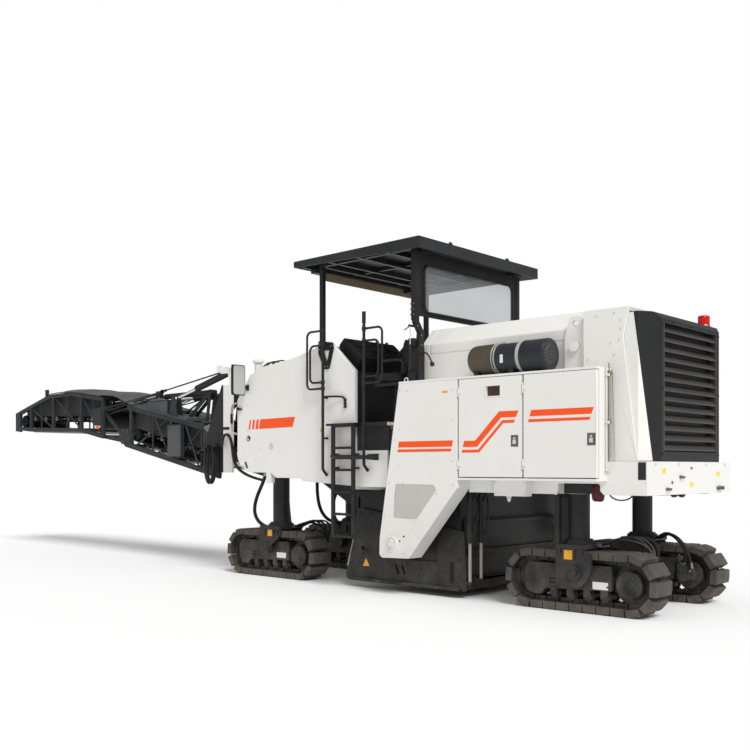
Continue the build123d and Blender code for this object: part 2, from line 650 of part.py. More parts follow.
# Cooler housing at the rear with its louvres and beacon
COOLER_HALF = 930
COOLER_REAR_HALF = 710
GRILLE_HALF = 660
GRILLE_LOW = 1690
GRILLE_HIGH = 2990
GRILLE_DEPTH = 90
with BuildPart() as cooler:
    slab(
        [(0, COOLER_LOW), (0, 3030), (60, COOLER_HIGH), (245, COOLER_HIGH), (300, 2850), (150, COOLER_LOW)],
        -COOLER_HALF,
        COOLER_HALF,
    )
    with BuildSketch(Plane.XY.offset(COOLER_LOW - 10)) as plan:
        Polygon(
            (REAR, -COOLER_REAR_HALF),
            (REAR + 150, -COOLER_HALF),
            (REAR + 400, -COOLER_HALF),
            (REAR + 400, COOLER_HALF),
            (REAR + 150, COOLER_HALF),
            (REAR, COOLER_REAR_HALF),
            align=None,
        )
    extrude(plan.sketch, amount=2000, mode=Mode.INTERSECT)
    block(-10, GRILLE_DEPTH, -GRILLE_HALF, GRILLE_HALF, GRILLE_LOW, GRILLE_HIGH, Mode.SUBTRACT)
    block(0, CHASSIS_PLATE, -COOLER_REAR_HALF, COOLER_REAR_HALF, CHASSIS_TOP, COOLER_LOW + 5)
save(cooler, "cooler_housing")

with BuildPart() as louvres:
    pitch = (GRILLE_HIGH - GRILLE_LOW) / LOUVRE_COUNT
    for index in range(LOUVRE_COUNT):
        z = GRILLE_LOW + pitch * (index + 0.5)
        slab([(8, z - 40), (8, z - 26), (74, z + 40), (74, z + 26)], -GRILLE_HALF + 20, GRILLE_HALF - 20)
    for hand in (-1, 1):
        low, high = sorted((hand * GRILLE_HALF, hand * (GRILLE_HALF - 22)))
        block(6, 80, low, high, GRILLE_LOW, GRILLE_HIGH)
save(louvres, "cooler_louvres")

with BuildPart() as beacon:
    rod((150, -650, COOLER_HIGH), (150, -650, COOLER_HIGH + 28), 62)
    rod((150, -650, COOLER_HIGH + 28), (150, -650, COOLER_HIGH + 105), 50)
save(beacon, "beacon")

# Air cleaner on the left ledge
CLEANER_Y = 1055
CLEANER_Z = 2722
CLEANER_RADIUS = 175
with BuildPart() as cleaner:
    rod((1400, CLEANER_Y, CLEANER_Z), (2080, CLEANER_Y, CLEANER_Z), CLEANER_RADIUS - 7)
    for x0, x1 in ((1385, 1425), (1640, 1675), (1840, 1875), (2040, 2080)):
        rod((x0, CLEANER_Y, CLEANER_Z), (x1, CLEANER_Y, CLEANER_Z), CLEANER_RADIUS)
    rod((1090, CLEANER_Y, CLEANER_Z), (1385, CLEANER_Y, CLEANER_Z), CLEANER_RADIUS - 15)
    rod((1075, CLEANER_Y, CLEANER_Z), (1110, CLEANER_Y, CLEANER_Z), CLEANER_RADIUS - 4)
    for x in (1480, 1940):
        block(x, x + 60, CLEANER_Y - 110, CLEANER_Y + 110, LEDGE_TOP, CLEANER_Z - 60)
save(cleaner, "air_cleaner")

with BuildPart() as engine:
    block(950, 2350, -400, 400, CHASSIS_TOP, 2700)
save(engine, "engine_block")

# Operator station: two consoles with slanted panels before the front wall, and two seats facing them
CONSOLE_FOOT = 4075
CONSOLE_PANEL = [(4240, 3203), (4330, 3118), (4353, 2899), (4353, 2760), (4075, 2770), (3930, 2928), (3936, 2945)]
# side places of the consoles
CONSOLES = [(-30, 920), (-920, -250)]
with BuildPart() as console:
    block(CONSOLE_FOOT, STATION_FRONT, -940, 940, FLOOR_TOP, 2775)
    for low, high in CONSOLES:
        slab(CONSOLE_PANEL, low, high, corners=[(4240, 3203, 25), (4330, 3118, 30), (3930, 2928, 6)])
    # hand rail along the front wall
    cross_rod(STATION_FRONT - 30, 3060, -900, 900, 17)
    for y in (-880, 0, 880):
        rod((STATION_FRONT - 30, y, 2760), (STATION_FRONT - 30, y, 3060), 15)
save(console, "console")

with BuildPart() as seats:
    for hand in (-1, 1):
        low, high = sorted((hand * 480, hand * 920))
        slab([(3220, 2540), (3300, 2640), (3760, 2660), (3790, 2600), (3760, 2540)], low, high)
        slab([(3310, 2600), (3240, 3060), (3150, 3060), (3210, 2540)], low, high, corners=[(3150, 3060, 30)])
        block(3450, 3610, hand * 700 - 80, hand * 700 + 80, FLOOR_TOP, 2545)
save(seats, "seats")

# Canopy: roof with deep fascia, posts, rear window
with BuildPart() as roof:
    slab(
        [(CANOPY_REAR, CANOPY_TOP - 140), (CANOPY_REAR, CANOPY_TOP), (CANOPY_FRONT, CANOPY_TOP), (CANOPY_FRONT, CANOPY_TOP - 80)],
        -CANOPY_HALF,
        CANOPY_HALF,
    )
    block(
        CANOPY_REAR + CANOPY_PLATE,
        CANOPY_FRONT - CANOPY_PLATE,
        -CANOPY_HALF + CANOPY_PLATE,
        CANOPY_HALF - CANOPY_PLATE,
        3900,
        CANOPY_TOP - CANOPY_PLATE,
        Mode.SUBTRACT,
    )
save(roof, "canopy_roof")

POST_REAR = 2900
POST_FRONT = 4470
POST_FOOT = 3113
BRACKET_OUTLINE = [(4530, 3160), (4530, 3000), (4420, 2790), (4330, 2790), (4250, 3050), (4262, 3120), (4470, 3160)]
REAR_POST = 74
POST_KNEE = 3300
TOWER_TOP = 2960
WINDOW_LOW = 3375
WINDOW_HIGH = 3950
WINDOW_HALF = 935
WINDOW_ROUND = 90
WINDOW_RIM = 45
with BuildPart() as posts:
    for hand in (-1, 1):
        low, high = sorted((hand * (POST_Y - REAR_POST / 2), hand * (POST_Y + REAR_POST / 2)))
        block(POST_REAR, POST_REAR + REAR_POST, low, high, POST_KNEE - 30, CANOPY_TOP - CANOPY_PLATE)
        low, high = sorted((hand * (POST_Y - POST / 2), hand * (POST_Y + POST / 2)))
        block(POST_FRONT, POST_FRONT + POST, low, high, POST_FOOT, CANOPY_TOP - CANOPY_PLATE)
        block(POST_REAR, POST_FRONT + POST, low, high, CANOPY_TOP - 90, CANOPY_TOP - CANOPY_PLATE)
        # bent link from the post to its tower on the ledge
        with BuildSketch(across(POST_REAR)) as link:
            Polygon(
                (hand * 1023, POST_KNEE),
                (hand * 1097, POST_KNEE),
                (hand * 1097, 3245),
                (hand * 1010, 3130),
                (hand * 1035, TOWER_TOP - 60),
                (hand * 945, TOWER_TOP - 60),
                (hand * 925, 3130),
                (hand * 1023, 3262),
                align=None,
            )
        extrude(link.sketch, amount=POST)
        low, high = sorted((hand * 925, hand * 1040))
        block(POST_REAR, HOOD_FRONT + 30, low, high, LEDGE_TOP, TOWER_TOP)
        # pierced bracket from the front post to the side of the front body
        low, high = sorted((hand * (BODY_HALF + SEAT_GAP), hand * (BODY_HALF + 14)))
        slab(BRACKET_OUTLINE, low, high, corners=[(4420, 2790, 25), (4330, 2790, 25), (4250, 3050, 40)])
        slab([(4425, 3030), (4325, 3030), (4372, 2880)], low - 5, high + 5, Mode.SUBTRACT)
        low, high = sorted((hand * (POST_Y + POST / 2 - 5), hand * (BODY_HALF + 14)))
        block(POST_FRONT, POST_FRONT + POST, low, high, POST_FOOT, 3160)
    for x in (POST_REAR, POST_FRONT):
        block(x, x + POST, -POST_Y, POST_Y, CANOPY_TOP - 90, CANOPY_TOP - CANOPY_PLATE)
    # frame of the rear window
    with BuildSketch(across(POST_REAR + 12)) as rim:
        with Locations((0, (WINDOW_LOW + WINDOW_HIGH) / 2)):
            Rectangle(2 * POST_Y, WINDOW_HIGH - WINDOW_LOW + 2 * WINDOW_RIM)
        with Locations((0, (WINDOW_HIGH + CANOPY_TOP - 80) / 2)):
            Rectangle(2 * POST_Y, CANOPY_TOP - 80 - WINDOW_HIGH)
        with Locations((0, (WINDOW_LOW + WINDOW_HIGH) / 2)):
            RectangleRounded(2 * WINDOW_HALF, WINDOW_HIGH - WINDOW_LOW, WINDOW_ROUND, mode=Mode.SUBTRACT)
    extrude(rim.sketch, amount=26)
save(posts, "canopy_posts")

with BuildPart() as glass:
    with BuildSketch(across(POST_REAR + 20)) as pane:
        with Locations((0, (WINDOW_LOW + WINDOW_HIGH) / 2)):
            height = WINDOW_HIGH - WINDOW_LOW - 2 * SEAT_GAP
            RectangleRounded(2 * WINDOW_HALF - 2 * SEAT_GAP, height, WINDOW_ROUND - SEAT_GAP)
    extrude(pane.sketch, amount=8)
save(glass, "rear_glass")

# Ladders with handrails on both sides
LADDER_Y = 1185
LADDER_REAR = 3820
LADDER_FRONT = 4170
RUNG_PITCH = 277
RUNG_LOW = 660
RAIL_RADIUS = 19
LOOP_TUBE = 14
FOOT_SEAT = 14.2  # so that the slanted end of a bar's foot just reaches the body
REAR_BAR = 3653
FRONT_BAR = 4370
# side name, hand, first rung: the right ladder ends above the drum's side plate
LADDERS = [("left", 1, 0), ("right", -1, 3)]
for name, hand, first in LADDERS:
    with BuildPart() as ladder:
        y = hand * LADDER_Y
        for x in (LADDER_REAR, LADDER_FRONT):
            rod((x, y, RUNG_LOW + first * RUNG_PITCH - 20), (x, y, FLOOR_TOP - 20), RAIL_RADIUS)
        for index in range(first, 6):
            z = RUNG_LOW + index * RUNG_PITCH
            block(LADDER_REAR, LADDER_FRONT, y - 30, y + 30, z - 12, z + 12)
        for z in (1520, 1690):
            for x in (LADDER_REAR, LADDER_FRONT):
                rod((x, y, z), (x, hand * BODY_HALF, z), 14)
        # hinge shaft of the fold-up ladder and the step at its top
        for x in (LADDER_REAR, LADDER_FRONT):
            rod((x, y, 1650), (x, hand * BODY_HALF, 1650), 20)
        cross = (LADDER_REAR - 230, y, 1650)
        rod(cross, (LADDER_FRONT + 30, y, 1650), 22)
        low, high = sorted((hand * BODY_HALF, y + hand * 35))
        block(LADDER_REAR - 20, LADDER_FRONT + 110, low, high, FLOOR_TOP - 28, FLOOR_TOP)
        # tall bars beside the entry, their feet bent in to the body
        for x, foot, top in ((REAR_BAR, 1560, 3408), (FRONT_BAR, 1500, 3300)):
            tube(across(x), [(hand * (BODY_HALF + FOOT_SEAT), foot - 75), (y, foot), (y, top)], RAIL_RADIUS, 60)
        for x, z in ((REAR_BAR, 1650), (FRONT_BAR, 1900), (FRONT_BAR, 2420)):
            rod((x, y, z), (x, hand * BODY_HALF, z), 14)
        rod((REAR_BAR, y, 3300), (REAR_BAR, y, 3440), RAIL_RADIUS + 5)
        # nested loops on both bars: bar, reach, bottom and top
        for x, out, low, high in (
            (FRONT_BAR, 290, 2535, 3275),
            (FRONT_BAR, 235, 2615, 3090),
            (REAR_BAR, -300, 2560, 3230),
            (REAR_BAR, -240, 2640, 3080),
        ):
            tube(side(y), [(x, low), (x + out, low), (x + out, high), (x, high)], LOOP_TUBE, 70)
    save(ladder, "ladder_" + name)

# Mirrors on arms at the front corners
for name, hand in (("left", 1), ("right", -1)):
    with BuildPart() as mirror:
        low, high = sorted((hand * 1165, hand * 1385))
        block(5930, 5965, low, high, 2525, 2945)
        rod((5948, hand * 1275, 2640), (5948, hand * BODY_HALF, 2640), 14)
    save(mirror, "mirror_" + name)

# Drum housing, drum and the plates that slide around it
BARREL_RADIUS = 38
BARREL_ROD = 19
BARREL_LOW = 650
BARREL_BORE_TOP = 1205
ROD_TOP = 850
PLATE_LEFT_Y = DRUM_LEFT + 10 + HOUSING_WALL + SEAT_GAP + BARREL_ROD + 2
PLATE_RIGHT_Y = DRUM_RIGHT - 10 - HOUSING_WALL - SEAT_GAP - BARREL_ROD - 2
# place and side place of the rear lifting cylinders, of the side plates and of the moldboard
PLATE_CYLINDERS = [(2270, PLATE_LEFT_Y), (2270, PLATE_RIGHT_Y)]
BOARD_CYLINDERS = [(2240, 700), (2240, -1050)]
with BuildPart() as housing:
    block(HOUSING_REAR, HOUSING_FRONT, DRUM_RIGHT - 10 - HOUSING_WALL, DRUM_LEFT + 10 + HOUSING_WALL, HOUSING_LOW, HOUSING_TOP)
    block(HOUSING_REAR + 40, HOUSING_FRONT - 40, DRUM_RIGHT - 10, DRUM_LEFT + 10, HOUSING_LOW - 10, HOUSING_TOP - 60, Mode.SUBTRACT)
    block(HOUSING_FRONT - 50, HOUSING_FRONT + 10, -PRIMARY_HALF - 20, PRIMARY_HALF + 20, 500, 1120, Mode.SUBTRACT)
    # cheeks before the front wall, with an opening
    for y in (DRUM_LEFT + 10, DRUM_RIGHT - 10 - HOUSING_WALL):
        slab([(HOUSING_FRONT - 10, 560), (HOUSING_FRONT - 10, HOUSING_TOP), (4085, HOUSING_TOP), (4115, 560)], y, y + HOUSING_WALL)
        slab([(3975, 765), (3975, 1150), (4060, 1150), (4060, 765)], y - 5, y + HOUSING_WALL + 5, Mode.SUBTRACT)
    # barrels of the lifting cylinders behind the housing, on brackets over the moldboard
    for x, y in PLATE_CYLINDERS + BOARD_CYLINDERS:
        block(x - 45, HOUSING_REAR + 45, y - 38, y + 38, HOUSING_TOP - 0.5, HOUSING_TOP + 30)
        rod((x, y, BARREL_LOW), (x, y, HOUSING_TOP + 10), BARREL_RADIUS)
        rod((x, y, BARREL_LOW - 5), (x, y, BARREL_BORE_TOP), BARREL_ROD + SHAFT_CLEARANCE, Mode.SUBTRACT)
    cross_rod(DRUM_X, DRUM_Z, DRUM_RIGHT - 200, DRUM_LEFT + 200, DRUM_SHAFT + SHAFT_CLEARANCE, Mode.SUBTRACT)
save(housing, "drum_housing")

with BuildPart() as drum:
    cross_rod(DRUM_X, DRUM_Z, DRUM_RIGHT, DRUM_LEFT, DRUM_RADIUS)
    cross_rod(DRUM_X, DRUM_Z, DRUM_RIGHT - 10 - HOUSING_WALL, DRUM_LEFT + 10 + HOUSING_WALL, DRUM_SHAFT)
    for row in range(DRUM_ROWS):
        for index in range(TOOLS_PER_ROW):
            y = DRUM_RIGHT + 40 + index * (DRUM_LEFT - DRUM_RIGHT - 80) / (TOOLS_PER_ROW - 1)
            angle = row * 360 / DRUM_ROWS + index * 14
            with Locations(Location((REAR + DRUM_X, y, DRUM_Z), (0, angle, 0)) * Pos(DRUM_RADIUS + TOOL_REACH / 2 - 5, 0, 0)):
                Box(TOOL_REACH + 10, 34, 44)
save(drum, "milling_drum")

PLATE_OUTLINE = [
    (2330, 85),
    (2322, 133),
    (2350, 779),
    (2570, 816),
    (3960, 1010),
    (4062, 1010),
    (4126, 595),
    (4250, 150),
    (4236, 85),
]
PLATES = [
    ("side_plate_left", DRUM_LEFT + 10 + HOUSING_WALL + SEAT_GAP, 30, PLATE_LEFT_Y),
    ("side_plate_right", DRUM_RIGHT - 10 - HOUSING_WALL - SEAT_GAP, -30, PLATE_RIGHT_Y),
]
for name, face, thickness, rod_y in PLATES:
    with BuildPart() as plate:
        low, high = sorted((face, face + thickness))
        slab(PLATE_OUTLINE, low, high, corners=[(2330, 85, 30), (4236, 85, 60)])
        slab([(2750, 405), (2750, 900), (3650, 900), (3650, 405)], low - 5, high + 5, Mode.SUBTRACT)
        # skid along the bottom, slots, and the rods of the lifting cylinders
        near, far = sorted((face, face + 1.8 * thickness))
        slab([(2420, 86), (2400, 130), (4130, 130), (4150, 86)], near, far)
        for x in (3300, 3400):
            bar([(x, 330), (x - 45, 215)], (low + high) / 2, 50, 24, Mode.SUBTRACT)
        cross_rod(3950, 500, low - 5, high + 5, 30, Mode.SUBTRACT)
        block(2250, 2360, low, high, 160, 200)
        rod((2270, rod_y, 170), (2270, rod_y, ROD_TOP), BARREL_ROD)
        rod((4225, rod_y, 255), (4105, rod_y, 640), 15)
    save(plate, name)

with BuildPart() as moldboard:
    block(HOUSING_REAR - SEAT_GAP - 30, HOUSING_REAR - SEAT_GAP, DRUM_RIGHT, DRUM_LEFT, 90, 920)
    for z in (200, 520, 860):
        block(HOUSING_REAR - SEAT_GAP - 80, HOUSING_REAR - SEAT_GAP - 30, DRUM_RIGHT, DRUM_LEFT, z, z + 40)
    for x, y in BOARD_CYLINDERS:
        block(x - 24, HOUSING_REAR - SEAT_GAP - 75, y - 22, y + 22, 205, 235)
        rod((x, y, 210), (x, y, ROD_TOP), BARREL_ROD)
save(moldboard, "moldboard")

# Primary conveyor: closed trough from the drum to the slewing frame
with BuildPart() as primary:
    low = -PRIMARY_DEPTH / 2
    high = PRIMARY_DEPTH / 2
    x0 = PRIMARY_TAIL[0]
    x1 = PRIMARY_HEAD[0]
    slab(
        [(x0, primary_line(x0, low)), (x0, primary_line(x0, high)), (x1, primary_line(x1, high)), (x1, primary_line(x1, low))],
        -PRIMARY_HALF,
        PRIMARY_HALF,
    )
    cross_rod(x1, primary_line(x1, 0), -PRIMARY_HALF, PRIMARY_HALF, PRIMARY_DEPTH / 2)
    for x in (5200, 5950):
        for hand in (-1, 1):
            low_y, high_y = sorted((hand * PRIMARY_HALF, hand * (PRIMARY_HALF + 60)))
            block(x, x + 80, low_y, high_y, primary_line(x, -60), primary_line(x, 60))
save(primary, "primary_conveyor")

# Slewing frame: turns on pins in the front body's tongues and carries the discharge conveyor
with BuildPart() as slew:
    reach = CONVEYOR_HALF + MOVING_GAP + SLEW_PLATE
    for hand in (-1, 1):
        low, high = sorted((hand * reach, hand * (CONVEYOR_HALF + MOVING_GAP)))
        slab(
            [
                (SLEW_X - 70, SLEW_LOW - 90),
                (SLEW_X - 70, SLEW_HIGH),
                (SLEW_X + 180, SLEW_HIGH),
                (7600, 1900),
                (7560, 1640),
                (SLEW_X + 250, SLEW_LOW - 90),
            ],
            low,
            high,
        )
        low, high = sorted((hand * reach, hand * (CONVEYOR_HALF - TRUSS_WIDTH + 5)))
        cross_rod(LIFT_PIVOT[0], LIFT_PIVOT[1], low, high, LIFT_PIN)
        # lugs and pin for the lift cylinder
        for y in (LIFT_Y - EYE_WIDTH / 2 - 1 - LUG_PLATE, LIFT_Y + EYE_WIDTH / 2 + 1):
            low, high = sorted((hand * y, hand * (y + LUG_PLATE)))
            slab(
                [(SLEW_X - 60, SLEW_HIGH - 10), (SLEW_X + 30, 3045), (SLEW_X + 150, 3045), (SLEW_X + 70, SLEW_HIGH - 10)],
                low,
                high,
            )
        low = LIFT_Y - EYE_WIDTH / 2 - LUG_PLATE
        high = LIFT_Y + EYE_WIDTH / 2 + LUG_PLATE
        cross_rod(MAST_EYE[0], MAST_EYE[1], hand * low, hand * high, EYE_PIN)
    block(SLEW_X - 70, SLEW_X + 70, -reach, reach, SLEW_LOW, SLEW_LOW + SLEW_BEAM)
    block(SLEW_X - 70, SLEW_X + 70, -reach, reach, SLEW_HIGH - SLEW_BEAM, SLEW_HIGH)
    rod((SLEW_X, 0, SLEW_LOW - BRACKET), (SLEW_X, 0, SLEW_LOW), SLEW_PIN)
    rod((SLEW_X, 0, SLEW_HIGH), (SLEW_X, 0, 3160), SLEW_PIN)
save(slew, "slew_frame")


# Discharge conveyor: two truss sections with a belt in each
def rear_low(x):
    return 1465 + 0.2065 * (x - 7630)


def rear_high(x):
    return 2142 + 0.1935 * (x - 7630)


def cover_sheet(start, end):
    # arched cover over the belt between two points on top of the chords
    direction = (end[0] - start[0], 0, end[1] - start[1])
    top = Plane(origin=(REAR + start[0], 0, start[1]), x_dir=(0, 1, 0), z_dir=direction)
    with BuildSketch(top) as arch:
        with BuildLine():
            ThreePointArc((-CONVEYOR_HALF, 0), (0, COVER_RISE), (CONVEYOR_HALF, 0))
            Line((CONVEYOR_HALF, 0), (CONVEYOR_HALF - TRUSS_WIDTH, 0))
            ThreePointArc((CONVEYOR_HALF - TRUSS_WIDTH, 0), (0, COVER_RISE - COVER_SHEET), (TRUSS_WIDTH - CONVEYOR_HALF, 0))
            Line((TRUSS_WIDTH - CONVEYOR_HALF, 0), (-CONVEYOR_HALF, 0))
        make_face()
    extrude(arch.sketch, amount=hypot(direction[0], direction[2]) - COVER_JOINT)


REAR_BELT = ((7470, 1640), (9700, 2095))
FRONT_BELT = ((10730, 2330), (13580, 2440))


def belt_loop(ends, height, wide, mode=Mode.ADD):
    (xa, za), (xb, zb) = ends
    length = hypot(xb - xa, zb - za)
    with BuildSketch(side(wide)) as loop:
        with Locations(Location(((xa + xb) / 2, (za + zb) / 2, 0), (0, 0, degrees(atan2(zb - za, xb - xa))))):
            SlotCenterToCenter(length, height)
    extrude(loop.sketch, amount=2 * wide, mode=mode)


for name, ends in (("belt_rear", REAR_BELT), ("belt_front", FRONT_BELT)):
    with BuildPart() as belt:
        belt_loop(ends, BELT_LOOP, BELT_HALF)
        belt_loop(ends, BELT_LOOP - 2 * BELT_THICKNESS, BELT_HALF + 1, Mode.SUBTRACT)
    save(belt, name)

with BuildPart() as rear_truss:
    x0, x1 = 7290, 9870
    for hand in (-1, 1):
        y = hand * (CONVEYOR_HALF - TRUSS_WIDTH / 2)
        bar([(x0, rear_low(x0)), (x1, rear_low(x1))], y, TRUSS_WIDTH, CHORD)
        bar([(x0, rear_high(x0)), (x1 - 70, rear_high(x1 - 70))], y, TRUSS_WIDTH, CHORD)
        for x in (8540, 9700):
            bar([(x, rear_low(x)), (x, rear_high(x))], y, TRUSS_WIDTH, 64)
        for xa, xb in ((8430, 7720), (9620, 8600)):
            bar([(xa, rear_low(xa)), (xb, rear_high(xb))], y, 24, 26)
        low, high = sorted((hand * CONVEYOR_HALF, hand * (CONVEYOR_HALF - TRUSS_WIDTH)))
        slab([(x0, rear_low(x0)), (x0, rear_high(x0)), (7690, rear_high(7690)), (7690, rear_low(7690))], low, high)
        cross_rod(LIFT_PIVOT[0], LIFT_PIVOT[1], low - 5, high + 5, LIFT_PIN + SHAFT_CLEARANCE, Mode.SUBTRACT)
        # fold pivot: boss and pin that the front section's arms turn on
        cross_rod(FOLD_PIVOT[0], FOLD_PIVOT[1], low, high, 66)
        cross_rod(FOLD_PIVOT[0], FOLD_PIVOT[1], hand * (CONVEYOR_HALF - TRUSS_WIDTH - 36), hand * CONVEYOR_HALF, FOLD_PIN)
        # brackets for the lift cylinder's rod and the fold cylinder's root
        for y in (LIFT_Y - EYE_WIDTH / 2 - MOVING_GAP - LUG_PLATE, LIFT_Y + EYE_WIDTH / 2 + MOVING_GAP):
            low, high = sorted((hand * y, hand * (y + LUG_PLATE)))
            slab([(8400, 2300), (8480, 2680), (8560, 2680), (8640, 2340)], low, high)
        for y in (FOLD_Y - EYE_WIDTH / 2 - 1 - LUG_PLATE, FOLD_Y + EYE_WIDTH / 2 + 1):
            low, high = sorted((hand * y, hand * (y + LUG_PLATE)))
            bar([FOLD_ROOT, (8340, 2300)], (low + high) / 2, LUG_PLATE, 60)
            bar([FOLD_ROOT, (7850, 2190)], (low + high) / 2, LUG_PLATE, 60)
            cross_rod(FOLD_ROOT[0], FOLD_ROOT[1], low, high, 45)
        low = FOLD_Y - EYE_WIDTH / 2 - LUG_PLATE
        high = FOLD_Y + EYE_WIDTH / 2 + LUG_PLATE
        cross_rod(FOLD_ROOT[0], FOLD_ROOT[1], hand * low, hand * high, EYE_PIN)
    for x in (8540, 9740):
        block(x - 25, x + 25, -CONVEYOR_HALF, CONVEYOR_HALF, rear_low(x) - 30, rear_low(x) + 30)
    for x in (7850, 8340, 8520):
        block(x - 35, x + 35, -CONVEYOR_HALF, CONVEYOR_HALF, rear_high(x) - 30, rear_high(x) + 40)
    for x, z in REAR_BELT:
        cross_rod(x, z, -BELT_HALF, BELT_HALF, BELT_LOOP / 2 - BELT_THICKNESS - SEAT_GAP)
        cross_rod(x, z, -CONVEYOR_HALF + 10, CONVEYOR_HALF - 10, PULLEY_SHAFT)
    # boxes on the left: on the truss's side and on the cover
    block(8190, 8560, CONVEYOR_HALF - 5, CONVEYOR_HALF + 55, 1690, 2215)
    block(8680, 9280, 368, 500, 2380, 2640)
    lift = CHORD / 2 - 1
    cover_sheet((8660, rear_high(8660) + lift), (9734, rear_high(9734) + lift))
save(rear_truss, "conveyor_rear")

LOWER_CHORD = [(10580, 2075), (11307, 2209), (13146, 2262), (13600, 2300)]
UPPER_CHORD = [(10560, 2735), (11655, 2883), (12454, 2868), (13600, 2600)]
with BuildPart() as front_truss:
    for hand in (-1, 1):
        y = hand * (CONVEYOR_HALF - TRUSS_WIDTH / 2)
        bar(LOWER_CHORD, y, TRUSS_WIDTH, 70)
        bar(UPPER_CHORD, y, TRUSS_WIDTH, 70)
        for x, za, zb in ((10580, 2060, 2740), (11307, 2209, 2835), (12300, 2240, 2870), (13146, 2262, 2700)):
            bar([(x, za), (x, zb)], y, TRUSS_WIDTH, 55)
        low, high = sorted((hand * CONVEYOR_HALF, hand * (CONVEYOR_HALF - TRUSS_WIDTH)))
        slab([(13560, 2230), (13560, 2640), (13740, 2600), (13740, 2250)], low, high)
        slab([(10560, 2250), (10560, 2410), (10790, 2380), (10790, 2280)], low, high)
        # arms back to the fold pivot
        arm = hand * (CONVEYOR_HALF - TRUSS_WIDTH - SEAT_GAP - 16)
        bar([FOLD_PIVOT, (10590, 2075)], arm, 32, 70)
        bar([FOLD_PIVOT, (10590, 2500)], arm, 32, 60)
        cross_rod(FOLD_PIVOT[0], FOLD_PIVOT[1], arm - 16, arm + 16, 60)
        cross_rod(FOLD_PIVOT[0], FOLD_PIVOT[1], arm - 30, arm + 30, FOLD_PIN + SHAFT_CLEARANCE, Mode.SUBTRACT)
        for y in (FOLD_Y - EYE_WIDTH / 2 - MOVING_GAP - LUG_PLATE, FOLD_Y + EYE_WIDTH / 2 + MOVING_GAP):
            low, high = sorted((hand * y, hand * (y + LUG_PLATE)))
            slab([(10560, 2640), (10600, 2745), (10690, 2745), (10690, 2640), (10620, 2530), (10560, 2530)], low, high)
    block(10555, 10605, -CONVEYOR_HALF, CONVEYOR_HALF, 2045, 2105)
    block(10555, 10605, -CONVEYOR_HALF, CONVEYOR_HALF, 2530, 2590)
    block(12275, 12325, -CONVEYOR_HALF, CONVEYOR_HALF, 2212, 2250)
    for x, z in FRONT_BELT:
        cross_rod(x, z, -BELT_HALF, BELT_HALF, BELT_LOOP / 2 - BELT_THICKNESS - SEAT_GAP)
        cross_rod(x, z, -CONVEYOR_HALF + 10, CONVEYOR_HALF - 10, PULLEY_SHAFT)
    for start, end in zip(UPPER_CHORD[:2], UPPER_CHORD[1:3]):
        cover_sheet((start[0], start[1] + 33), (end[0], end[1] + 33))
    block(12520, 12580, CONVEYOR_HALF - TRUSS_WIDTH, CONVEYOR_HALF, 2850, 3010)
    # slots in the cover for the fold cylinder's rods
    for hand in (-1, 1):
        middle = hand * FOLD_Y
        block(10540, 10720, middle - 48, middle + 48, 2760, 2900, Mode.SUBTRACT)
save(front_truss, "conveyor_front")

# Cylinders of the discharge conveyor: name, root, rod's eye, side place, barrel and rod radius, barrel end, rod start
CYLINDERS = [
    ("lift", MAST_EYE, LIFT_EYE, LIFT_Y, 52, 28, 900, 700),
    ("fold", FOLD_ROOT, FOLD_EYE, FOLD_Y, 46, 24, 1250, 1100),
]
for name, root, eye, y_place, barrel_radius, rod_radius, barrel_end, rod_start in CYLINDERS:
    length = hypot(eye[0] - root[0], eye[1] - root[1])
    ux = (eye[0] - root[0]) / length
    uz = (eye[1] - root[1]) / length
    with BuildPart() as barrels:
        for hand in (-1, 1):
            y = hand * y_place
            rod((root[0], y, root[1]), (root[0] + ux * barrel_end, y, root[1] + uz * barrel_end), barrel_radius)
            cross_rod(root[0], root[1], y - EYE_WIDTH / 2, y + EYE_WIDTH / 2, EYE_RADIUS)
            bore_start = (root[0] + ux * 80, y, root[1] + uz * 80)
            bore_end = (root[0] + ux * (barrel_end + 5), y, root[1] + uz * (barrel_end + 5))
            rod(bore_start, bore_end, rod_radius + SHAFT_CLEARANCE, Mode.SUBTRACT)
            cross_rod(root[0], root[1], y - 80, y + 80, EYE_PIN + SHAFT_CLEARANCE, Mode.SUBTRACT)
            # the root's cheeks stay between the lugs
            for cheek in (-1, 1):
                low, high = sorted((y + cheek * EYE_WIDTH / 2, y + cheek * (barrel_radius + 10)))
                block(root[0] - 90, root[0] + 90, low, high, root[1] - 110, root[1] + 110, Mode.SUBTRACT)
    save(barrels, name + "_barrels")
    with BuildPart() as rods:
        for hand in (-1, 1):
            y = hand * y_place
            rod((root[0] + ux * rod_start, y, root[1] + uz * rod_start), (eye[0], y, eye[1]), rod_radius)
            cross_rod(eye[0], eye[1], y - EYE_WIDTH / 2, y + EYE_WIDTH / 2, EYE_RADIUS)
    save(rods, name + "_rods")
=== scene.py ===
import bpy
import bmesh
import json
import math
from mathutils import Matrix, Vector


